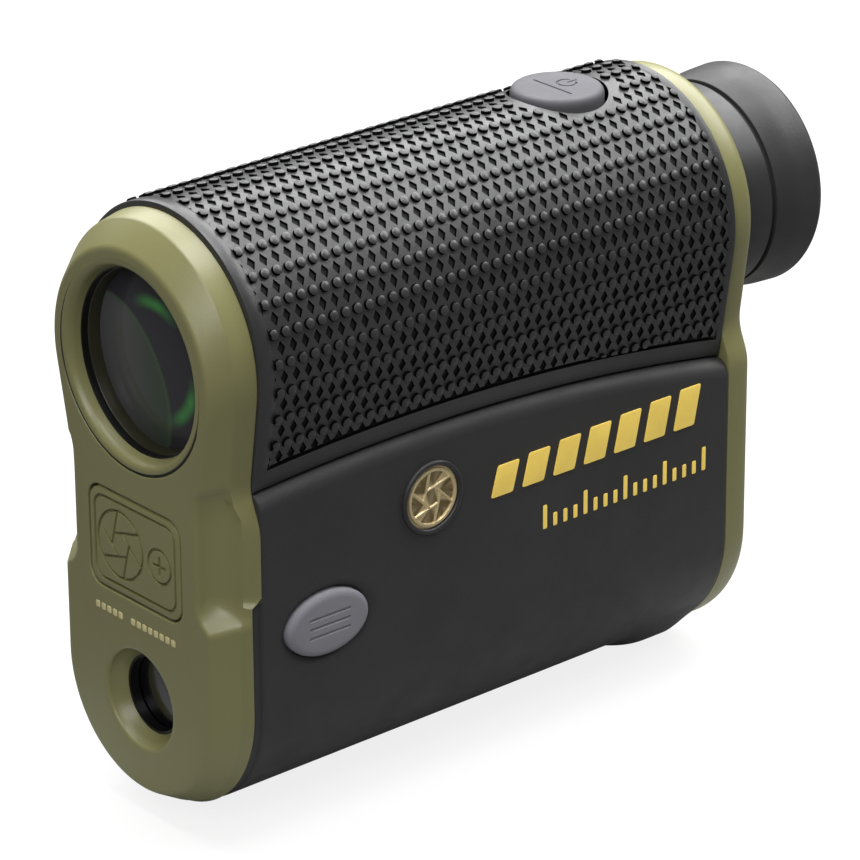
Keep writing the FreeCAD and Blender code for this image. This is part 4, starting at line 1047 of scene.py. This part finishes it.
def lattice_lines():
    """The rings of each stud and the two diamonds of each pit, clipped to the field."""
    lines = []
    reach = sleeve_edge(ARCH_Y)
    inside = FIELD_LOOPS[0][0]
    ring = circle(1.0, 14)
    diamond = np.array([(1, 0), (0.5, 0.5), (0, 1), (-0.5, 0.5), (-1, 0), (-0.5, -0.5), (0, -1), (0.5, -0.5)])
    first_row = int(math.floor((-reach - 6 - ROW_START) / ROW_PITCH))
    rows = range(first_row, -first_row + 1)
    count = int((REAR_START - FRONT_END) / STUD_PITCH) + 2
    for row in rows:
        for column in range(-count, count):
            for half, outlines in (
                (0.0, [ring * r for r, h in STUD_RINGS]),
                (0.5, [diamond * (PIT_HALF_Y, PIT_HALF_S) * k for k in (1.0, PIT_FLOOR)]),
            ):
                centre = np.array(
                    [STUD_START + (column + half) * STUD_PITCH, ROW_START + (row + half) * ROW_PITCH]
                )
                if edge_distance(centre[None])[0] < inside - 1.0:
                    continue
                to_hole = math.hypot(centre[0] - HOLE_Y, centre[1])
                if to_hole <= STUD_CLEAR:
                    continue
                for outline in outlines:
                    points = outline + centre
                    if edge_distance(points).min() > inside:
                        lines.append((points, True))
                        continue
                    kept = edge_distance(points) > inside - 0.12
                    for i in range(len(points)):
                        j = (i + 1) % len(points)
                        if kept[i] and kept[j]:
                            lines.append((points[[i, j]], False))
    return lines


def make_upper_armour():
    shell = Shell()
    outer, hole = field_loop(0.0), hole_loop(6.2)
    lines = [(field_loop(d), True) for d, h in (EDGE_LOOPS + FIELD_LOOPS)[1:]]
    lines += lattice_lines()
    spots = [(y, s) for y in np.arange(9.5, 79, 3.4) for s in np.arange(-40, 40.1, 0.85)]
    spots = np.array(spots)
    keep = (edge_distance(spots) > 3.2) & (np.hypot(spots[:, 0] - HOLE_Y, spots[:, 1]) > 6.6)
    keep &= np.abs(lattice_relief(spots)) < 1e-6
    flat, triangles = triangulate(outer, [hole], lines, spots[keep])
    loops = shell.net(flat, triangles, lambda points: sleeve_point(points, sleeve_height(points)))
    inner_holes = []
    for number, (points, numbers) in enumerate(loops):
        if number == 0:
            shell.wall(numbers, sleeve_point(points, -SLEEVE_WALL))
            inner_outer = points
        else:
            top = sleeve_point(points, sleeve_height(points))
            low = top.copy()
            low[:, 2] = np.sqrt((SLEEVE_R - SLEEVE_WALL) ** 2 - low[:, 0] ** 2)
            shell.wall(numbers, low)
            inner_r = SLEEVE_R - SLEEVE_WALL
            turned_back = np.column_stack([low[:, 1], SLEEVE_R * np.arcsin(low[:, 0] / inner_r)])
            inner_holes.append(turned_back)
    grid = np.array([(y, s) for y in np.arange(8, 79, 6.0) for s in np.arange(-42, 42.1, 1.2)])
    keep = (edge_distance(grid) > 0.8) & (np.hypot(grid[:, 0] - HOLE_Y, grid[:, 1]) > 8.2)
    flat, triangles = triangulate(inner_outer, inner_holes, (), grid[keep])
    shell.net(flat, triangles, lambda points: sleeve_point(points, -SLEEVE_WALL))
    shell.build("grip_sleeve", "casing", "grip_rubber", ["upper_armour"], sharp=28)


# ---------------------------------------------------------------- lower armour

HALF_TURN = BODY_R * math.pi / 2
MODE_Y = 15.1
MODE_Z = -31.9
MODE_A = 6.15
MODE_B = 4.10
BADGE_Y = 31.1
BADGE_Z = -20.9
BADGE_R = 4.62
LIP_FRONT = 4.2
LOWER_WALL = 1.6
SHOULDER = 2.0
SHOULDER_STEPS = (0.03, 0.12, 0.3, 0.55, 0.9, 1.35, 1.9, 2.0, 2.6)
NOTCH_Y = (70.0, 75.0)
NOTCH_HALF = 3.2
NOTCH_Z = -55.6
BOSS_Y = 73.2
BOSS_HALF = 6.9
BOSS_RISE = 1.1


def run_of(z):
    """Arc length round the lower armour, from the bottom line, of a height on its side."""
    return HALF_TURN + z + LOW_DROP


def lower_edge(y):
    return run_of(arch_z(np.maximum(y, FRONT_END))) - 0.1


def lower_front(run):
    """Station of the front edge, which steps forward as a lip below the shoulder."""
    return FRONT_END - (FRONT_END - LIP_FRONT) * (1 - smooth(-0.25, 0.25, np.abs(run) - run_of(LIP_Z)))


def mode_gap(flat):
    """Rough distance outwards from the mode button's hole, on the right side only."""
    run, y = flat[:, 0], flat[:, 1]
    share = np.hypot((y - MODE_Y) / MODE_A, (run - run_of(MODE_Z)) / MODE_B)
    return np.where(run > 0, (share - 1) * (MODE_A + MODE_B) / 2, 99)


def lower_height(flat):
    run, y = flat[:, 0], flat[:, 1]
    down = np.clip(lower_edge(y) - np.abs(run), 0, SHOULDER)
    height = -(SHOULDER - np.sqrt(SHOULDER**2 - (SHOULDER - down) ** 2))
    ahead = y - lower_front(run)
    behind = REAR_START - y
    for gap in (ahead, behind):
        height = height - 0.3 * (1 - np.sqrt(1 - (1 - np.clip(gap / 0.3, 0, 1)) ** 2))
    in_lip = (1 - smooth(FRONT_END - 0.12, FRONT_END + 0.1, y)) * (np.abs(run) < run_of(LIP_Z))
    height = height - 0.25 * in_lip
    gap = np.clip(mode_gap(flat), 0, 1.15)
    height = height - 0.55 * (1 - np.sin(gap / 1.15 * math.pi / 2)) ** 1.3
    return height


def lower_point(flat, height):
    """Points on the lower armour from (arc length, station), raised by a height."""
    run, y = flat[:, 0], flat[:, 1]
    side = np.sign(run)
    turn = np.minimum(np.abs(run), HALF_TURN) / BODY_R
    beyond = np.maximum(np.abs(run) - HALF_TURN, 0)
    x = (BODY_R + height) * np.sin(turn)
    z = -LOW_DROP - (BODY_R + height) * np.cos(turn) + beyond
    return np.column_stack([side * x, y, z])


def boss_rise(flat):
    """How far the low boss under the rear swells out of the body."""
    run, y = flat[:, 0], flat[:, 1]
    along = 1 - smooth(1.6, BOSS_HALF, np.abs(y - BOSS_Y))
    around = 1 - smooth(9.6, 15.5, np.abs(run))
    return BOSS_RISE * along * around


def lower_surface(flat):
    """The outer surface, with the flat keel, the boss under the rear and the pocket in it."""
    points = lower_point(flat, lower_height(flat) + boss_rise(flat))
    x, y, z = points.T
    share = smooth(0.0, 0.25, boss_rise(flat))
    low = np.maximum(z, FLAT_Z * (1 - share) + (z - 0.001) * share)
    from_wall = np.minimum(NOTCH_HALF - np.abs(flat[:, 0]), np.minimum(y - NOTCH_Y[0], NOTCH_Y[1] - y))
    pocket = smooth(0.0, 0.16, from_wall)
    points[:, 2] = low + (np.maximum(low, NOTCH_Z) - low) * pocket
    return points


def lower_outline():
    """The lower armour's outline in (arc length, station)."""
    points = []
    stations = np.linspace(FRONT_END, REAR_START, 60)
    points += [(lower_edge(y), y) for y in stations[:-1]]
    reach = lower_edge(REAR_START)
    points += [(u, REAR_START) for u in np.linspace(reach, -reach, 130)[:-1]]
    points += [(-lower_edge(y), y) for y in stations[::-1][:-1]]
    reach = lower_edge(FRONT_END)
    step = run_of(LIP_Z)
    high = np.linspace(-reach, -step - 0.3, 18)
    bend = np.linspace(-step - 0.25, -step + 0.25, 5)
    low = np.linspace(-step + 0.3, step - 0.3, 96)
    for u in (*high, *bend, *low, *-bend[::-1], *-high[::-1][:-1]):
        points.append((u, float(lower_front(u))))
    return np.array(points)


def make_lower_armour():
    shell = Shell()
    outer = lower_outline()
    mode = oval(MODE_B, MODE_A, 72, run_of(MODE_Z), MODE_Y)
    badge = circle(BADGE_R, 60, run_of(BADGE_Z), BADGE_Y)
    lines = []
    stations = np.linspace(FRONT_END, REAR_START, 60)
    for step in SHOULDER_STEPS:
        for side in (-1, 1):
            lines.append((np.array([(side * (lower_edge(y) - step), y) for y in stations]), False))
    for gap in (0.03, 0.1, 0.2, 0.3, 0.8):
        reach = lower_edge(REAR_START)
        lines.append((np.array([(u, REAR_START - gap) for u in np.linspace(reach, -reach, 130)]), False))
        reach = lower_edge(FRONT_END) - 0.02
        across = np.linspace(reach, -reach, 150)
        lines.append((np.array([(u, float(lower_front(u)) + gap) for u in across]), False))
    low = np.linspace(-run_of(LIP_Z), run_of(LIP_Z), 96)
    lines += [(np.array([(u, FRONT_END + k) for u in low]), False) for k in (-0.12, 0.0, 0.1)]
    for gap in (0.06, 0.18, 0.35, 0.55, 0.8, 1.15, 1.6):
        scale = 1 + gap / ((MODE_A + MODE_B) / 2)
        lines.append((oval(MODE_B * scale, MODE_A * scale, 72, run_of(MODE_Z), MODE_Y), True))
    lines.append((circle(BADGE_R + 0.5, 60, run_of(BADGE_Z), BADGE_Y), True))
    middle = (NOTCH_Y[0] + NOTCH_Y[1]) / 2
    for inset in (0.0, 0.05, 0.11, 0.16, 0.4, -0.3):
        half = (NOTCH_Y[1] - NOTCH_Y[0]) / 2 - inset
        corner = max(0.9 - inset, 0.3)
        lines.append((box_outline(NOTCH_HALF - inset, half, corner, 0, middle), True))
    spots = [(u, y) for u in np.arange(-HALF_TURN, HALF_TURN + 0.1, 1.15) for y in np.arange(9, 80, 3.0)]
    spots += [(u, y) for u in np.arange(-16.2, 16.3, 0.6) for y in np.arange(65.6, 79.9, 0.6)]
    spots = np.array(spots)
    flat, triangles = triangulate(outer, [mode, badge], lines, spots)
    loops = shell.net(flat, triangles, lower_surface)
    inner = []
    for points, numbers in loops:
        shell.wall(numbers, lower_point(points, -SHOULDER - LOWER_WALL + 0 * points[:, 0]))
        inner.append(points)
    grid = [(u, y) for u in np.arange(-50, 50.1, 1.3) for y in np.arange(8, 79, 8.0)]
    grid = np.array(grid)
    keep = (mode_gap(grid) > 0.7) & (np.hypot(grid[:, 0] - run_of(BADGE_Z), grid[:, 1] - BADGE_Y) > 5.2)
    flat, triangles = triangulate(inner[0], inner[1:], (), grid[keep])
    shell.net(flat, triangles, lambda p: lower_point(p, -SHOULDER - LOWER_WALL + 0 * p[:, 0]))
    shell.build("lower_shell", "casing", "smooth_armour", ["lower_armour"], sharp=30)


def on_side(x):
    """Places plane points (y, z) on the right side, at x plus their height."""
    return lambda flat, height=0: np.column_stack([x + height + 0 * flat[:, 0], flat[:, 0], flat[:, 1]])


def make_side_marks():
    """A row of seven slanted gold bars and, under it, a scale of gold ticks."""
    shell = Shell()
    count, start, end = 7, 40.2, 74.6
    pitch = (end - start) / count
    width = pitch * 0.68
    lean = 1.1
    for k in range(count):
        left = start + pitch * k
        rise = 1.4 * k / (count - 1)
        top, foot = -19.9 + rise, -23.8 + rise * 0.1
        corners = [(left, foot), (left + width, foot), (left + width + lean, top), (left + lean, top)]
        slab(shell, rounded(corners, 0.25, 3, closed=True), on_side(BODY_R), -0.1, 0.16, 0.06)
    ticks, start, end, foot = 17, 48.8, 74.9, -30.3
    for k in range(ticks):
        y = start + (end - start) * k / (ticks - 1)
        tall = 1.55 if k % 4 == 0 else 0.85
        outline = box_outline(0.3, tall, 0.12, y, foot + tall, 2)
        slab(shell, outline, on_side(BODY_R), -0.1, 0.08, 0.05)
    shell.build("side_marks", "casing", look=MARK_GOLD)


def make_badge():
    """A black rim round a gold disc that carries an iris sign."""
    shell = Shell()
    foot, base, disc_r = 15.9, 16.3, 3.9
    corners = [(disc_r, foot), (disc_r, 16.55), (4.1, 16.78), (4.45, 16.78), (BADGE_R, 16.5), (BADGE_R, foot)]
    turned(shell, rounded(corners, 0.16, 4), "x", (BADGE_Y, BADGE_Z), 80, closed=True)
    shell.build("badge_surround", "casing", "black_plastic", ["badge_rim"])
    shell = Shell()

    def place(flat, height):
        return on_side(base)(flat + (BADGE_Y, BADGE_Z), height)

    strokes = [Stroke(circle(3.45, 60), 0.55, 0.28, True, 0.12)]
    strokes += iris_strokes(3.2, 0.42, 0.2, slope=0.12)
    outer = circle(disc_r, 60)
    embossed(shell, outer, [], strokes, place)
    numbers = shell.skin([place(outer, 0), place(outer, foot - base)])
    shell.lid(numbers[-1])
    shell.build("badge_medal", "casing", "badge_gold", ["badge_disc"])


# ---------------------------------------------------------------- buttons


def make_power_button():
    """The round key on top, with a plain power sign and a line sunk in it."""
    shell = Shell()
    top, foot, face_r, radius = 17.5, 14.8, 4.7, 5.7
    profile = [(face_r, top), (4.95, top), (5.2, top - 0.06), (5.42, top - 0.2), (5.58, top - 0.42)]
    profile += [(5.67, top - 0.72), (radius, top - 1.1), (radius, foot)]
    rows = turned(shell, profile, "z", (0, HOLE_Y), 96)
    shell.lid(rows[-1])

    def place(flat, height):
        return np.column_stack([flat[:, 0], HOLE_Y + flat[:, 1], top + height])

    strokes = [
        Stroke([(-3.3, -0.75), (3.3, -0.75)], 0.34, -0.16),
        Stroke(arc_line(1.15, 125, 415, 30, 0, 1.55), 0.32, -0.16),
        Stroke([(0, 1.75), (0, 3.0)], 0.32, -0.16),
    ]
    embossed(shell, circle(face_r, 96), [], strokes, place)
    # painted shade: the key on top takes the darker copy of the keys' grey
    shell.build("power_key", "power_control", "button_grey", ["power_button"], SHADED_BUTTON_GREY)


def make_mode_button():
    """The oval key on the right side, with three lines sunk in it."""
    shell = Shell()
    face = 17.0
    steps = ((0.9, 0.0), (0.62, 0.02), (0.4, 0.09), (0.22, 0.2), (0.08, 0.38), (0.0, 0.62), (0.0, 1.6))

    def outline(offset):
        return oval(6.0 - offset, 3.95 - offset, 84, MODE_Y, MODE_Z)

    numbers = shell.skin([on_side(face - drop)(outline(offset)) for offset, drop in steps])
    shell.lid(numbers[-1])
    strokes = [
        Stroke([(MODE_Y - 2.9, MODE_Z + k), (MODE_Y + 2.9, MODE_Z + k)], 0.4, -0.16)
        for k in (-1.15, 0.0, 1.15)
    ]
    embossed(shell, outline(steps[0][0]), [], strokes, on_side(face))
    shell.build("mode_key", "mode_control", "button_grey", ["mode_button"])


# ---------------------------------------------------------------- optics at the front


def optic_ring(name, body, slot, nodes, corners, cuts, steps=4, look=None):
    """A ring about the upper optical axis, with the given corners of its section made round."""
    shell = Shell()
    profile = rounded(corners, cuts, steps, closed=True)
    turned(shell, profile, "y", (0, -OPTIC_DROP), 128, closed=True)
    shell.build(name, body, slot, nodes, look)


def make_objective():
    """The olive lip ring, the seal round it, the lens clamp, the barrel's wall and the front glass."""
    lip = [(11.3, 1.7), (11.62, 0.6), (12.1, 0.0), (12.74, 0.0), (12.78, 0.3), (12.78, 3.2), (11.3, 3.2)]
    cuts = (0.15, 0.5, 0.3, 0.1, 0, 0, 0)
    optic_ring("lens_surround", "casing", "olive_bezel", ["objective_ring"], lip, cuts)
    seal = [(12.76, 0.12), (13.1, 0.12), (13.1, 0.9), (12.76, 0.9)]
    optic_ring("lens_seal", "casing", None, (), seal, 0.05, 3, LOOKS["seal_rubber"])
    clamp = [(11.4, 1.75), (11.15, 1.75), (11.1, 2.55), (11.4, 2.55)]
    optic_ring("lens_clamp", "casing", "black_anodised", ["objective_retainer"], clamp, 0.06)
    wall = [(11.4, 2.6), (11.0, 2.6), (10.85, 3.6), (10.8, 5.2), (11.4, 5.2)]
    # painted reflection: the barrel's olive tint
    optic_ring("lens_barrel", "casing", None, (), wall, 0.1, look=BARREL_OLIVE_REFLECTION)
    shell = Shell()
    bend, radius, start, rear = 50.0, 11.35, 3.0, 7.6
    radii = np.concatenate([[0.0], np.linspace(0.8, radius, 18)])
    profile = [(r, start + bend - math.sqrt(bend**2 - r**2)) for r in radii]
    profile += [(radius, rear), (0.0, rear - 0.2)]
    turned(shell, profile, "y", (0, -OPTIC_DROP), 128)
    shell.build("lens_front", "casing", "coated_glass", ["objective_crown_lens"])


def make_laser_window():
    """The dark, slightly dished window deep in the lower aperture."""
    shell = Shell()
    radius, start, rear = 4.82, 3.42, 4.6
    radii = np.concatenate([[0.0], np.linspace(0.6, radius, 9)])
    profile = [(r, start + r * r / 160) for r in radii] + [(radius, rear), (0.0, rear)]
    turned(shell, profile, "y", (0, -LASER_DROP), 72)
    shell.build("laser_pane", "casing", "laser_window_glass", ["laser_window"])


# ---------------------------------------------------------------- eyepiece and rear parts


def make_eyepiece():
    """The fixed collar, and behind it the focus ring and the flared rubber cup, which turn."""
    collar = [(12.2, 81.0), (12.2, 82.3), (13.1, 82.34), (13.1, 89.2), (11.7, 89.2), (11.7, 81.0)]
    cuts = (0, 0, 0.15, 0.35, 0, 0)
    optic_ring("eye_collar", "casing", "black_plastic", ["eyepiece_collar"], collar, cuts)
    band = [(12.6, 89.45), (12.6, 95.3), (11.6, 95.3), (11.6, 89.45)]
    optic_ring("focus_band", "focus", "black_plastic", ["focus_ring"], band, (0.3, 0, 0, 0))
    cup = [(12.65, 89.85), (13.15, 89.85), (13.9, 92.4), (14.1, 96.2), (13.7, 96.9)]
    cup += [(11.9, 96.9), (10.4, 95.0), (9.6, 93.6), (10.9, 93.5), (12.65, 95.4)]
    cuts = (0, 0.1, 0.9, 0.3, 0.3, 0.6, 0.7, 0.12, 0, 0)
    optic_ring("eye_cup", "focus", "eyecup_rubber", ["eyecup"], cup, cuts, 5)


# ---------------------------------------------------------------- room, light and camera


FLOOR_GLOW = 0.84
FLOOR_SHADE = 0.16


def make_floor():
    """A pale floor that looks white from the camera and throws back little light, except by the object."""
    mesh = bpy.data.meshes.new("floor")
    net = bmesh.new()
    bmesh.ops.create_grid(net, x_segments=2, y_segments=2, size=3.0)
    net.to_mesh(mesh)
    net.free()
    look = Look("floor_paint")
    patch = look.remap(look.noise(3, 2), 0.3, 0.7)
    far = look.mix(patch, (0.10, 0.10, 0.10), (0.11, 0.11, 0.11))
    split = look.node("ShaderNodeSeparateXYZ")
    look.feed(split.inputs[0], look.place)
    beside = look.remap(look.math("ABSOLUTE", split.outputs["X"]), 0.022, 0.045, 1.0, 0.0)
    along = look.remap(look.math("ABSOLUTE", split.outputs["Y"]), 0.045, 0.075, 1.0, 0.0)
    near = look.math("MULTIPLY", beside, along)
    look.set(Base_Color=look.mix(near, far, (0.4, 0.4, 0.4)), Roughness=0.9)
    glow = look.node("ShaderNodeEmission")
    glow.inputs["Strength"].default_value = FLOOR_GLOW
    paint = look.node("ShaderNodeBsdfDiffuse")
    paint.inputs["Color"].default_value = (FLOOR_SHADE,) * 3 + (1,)
    seen = look.node("ShaderNodeAddShader")
    look.feed(seen.inputs[0], glow.outputs[0])
    look.feed(seen.inputs[1], paint.outputs[0])
    both = look.node("ShaderNodeMixShader")
    path = look.node("ShaderNodeLightPath")
    look.feed(both.inputs["Fac"], path.outputs["Is Camera Ray"])
    look.feed(both.inputs[1], look.shader.outputs[0])
    look.feed(both.inputs[2], seen.outputs[0])
    look.feed(look.tree.nodes["Material Output"].inputs["Surface"], both.outputs[0])
    mesh.materials.append(look.material)
    floor = bpy.data.objects.new("floor", mesh)
    bpy.context.scene.collection.objects.link(floor)


def softbox(name, place, aim, size, power):
    light = bpy.data.lights.new(name, "AREA")
    light.shape = "RECTANGLE"
    light.size, light.size_y = size
    light.energy = power
    holder = bpy.data.objects.new(name, light)
    bpy.context.scene.collection.objects.link(holder)
    holder.location = place
    holder.rotation_mode = "QUATERNION"
    holder.rotation_quaternion = (Vector(aim) - Vector(place)).to_track_quat("-Z", "Y")


def make_world():
    world = bpy.data.worlds.new("studio")
    bpy.context.scene.world = world
    world.use_nodes = True
    nodes, links = world.node_tree.nodes, world.node_tree.links
    background = nodes["Background"]
    seen = nodes.new("ShaderNodeBackground")
    seen.inputs["Color"].default_value = (1, 1, 1, 1)
    path = nodes.new("ShaderNodeLightPath")
    both = nodes.new("ShaderNodeMixShader")
    background.inputs["Color"].default_value = (1, 1, 1, 1)
    background.inputs["Strength"].default_value = 0.05
    links.new(path.outputs["Is Camera Ray"], both.inputs["Fac"])
    links.new(background.outputs[0], both.inputs[1])
    links.new(seen.outputs[0], both.inputs[2])
    links.new(both.outputs[0], nodes["World Output"].inputs["Surface"])


CAMERA_AZIMUTH = 49.406
CAMERA_ELEVATION = 23.505
CAMERA_ROLL = -0.300
CAMERA_DISTANCE = 0.5558
CAMERA_LENS = 198.0
CAMERA_AIM = (0.009883, -0.01185, 0.04178)


def make_camera():
    azimuth, elevation = math.radians(CAMERA_AZIMUTH), math.radians(CAMERA_ELEVATION)
    back = Vector(
        (
            math.sin(azimuth) * math.cos(elevation),
            -math.cos(azimuth) * math.cos(elevation),
            math.sin(elevation),
        )
    )
    right = Vector((math.cos(azimuth), math.sin(azimuth), 0))
    up = back.cross(right)
    roll = math.radians(CAMERA_ROLL)
    across = right * math.cos(roll) + up * math.sin(roll)
    upright = back.cross(across)
    data = bpy.data.cameras.new("camera")
    data.sensor_width = 36
    data.lens = CAMERA_LENS
    data.clip_start, data.clip_end = 0.05, 20
    camera = bpy.data.objects.new("camera", data)
    bpy.context.scene.collection.objects.link(camera)
    place = Vector(CAMERA_AIM) + back * CAMERA_DISTANCE
    camera.matrix_world = Matrix(
        (
            (across.x, upright.x, back.x, place.x),
            (across.y, upright.y, back.y, place.y),
            (across.z, upright.z, back.z, place.z),
            (0, 0, 0, 1),
        )
    )
    bpy.context.scene.camera = camera


def make_lights():
    aim = (0, 0, 0.04)
    softbox("light_key", (0.41, -0.52, 0.61), aim, (0.45, 0.45), 3.2)
    softbox("light_over", (0.0, 0.0, 0.9), aim, (0.5, 0.5), 6.8)
    softbox("light_left", (-0.62, 0.1, 0.6), aim, (0.5, 0.7), 5.0)
    softbox("light_rear", (-0.12, 0.62, 0.64), aim, (1.2, 0.5), 11.5)
    bpy.context.scene.view_settings.view_transform = "Standard"


# ---------------------------------------------------------------- the whole

dress_cad_nodes()
make_front_bezel()
make_inlay()
make_face_marks()
make_rear_bezel()
make_upper_armour()
make_lower_armour()
make_side_marks()
make_badge()
make_power_button()
make_mode_button()
make_objective()
make_laser_window()
make_eyepiece()
make_floor()
make_world()
make_lights()
make_camera()
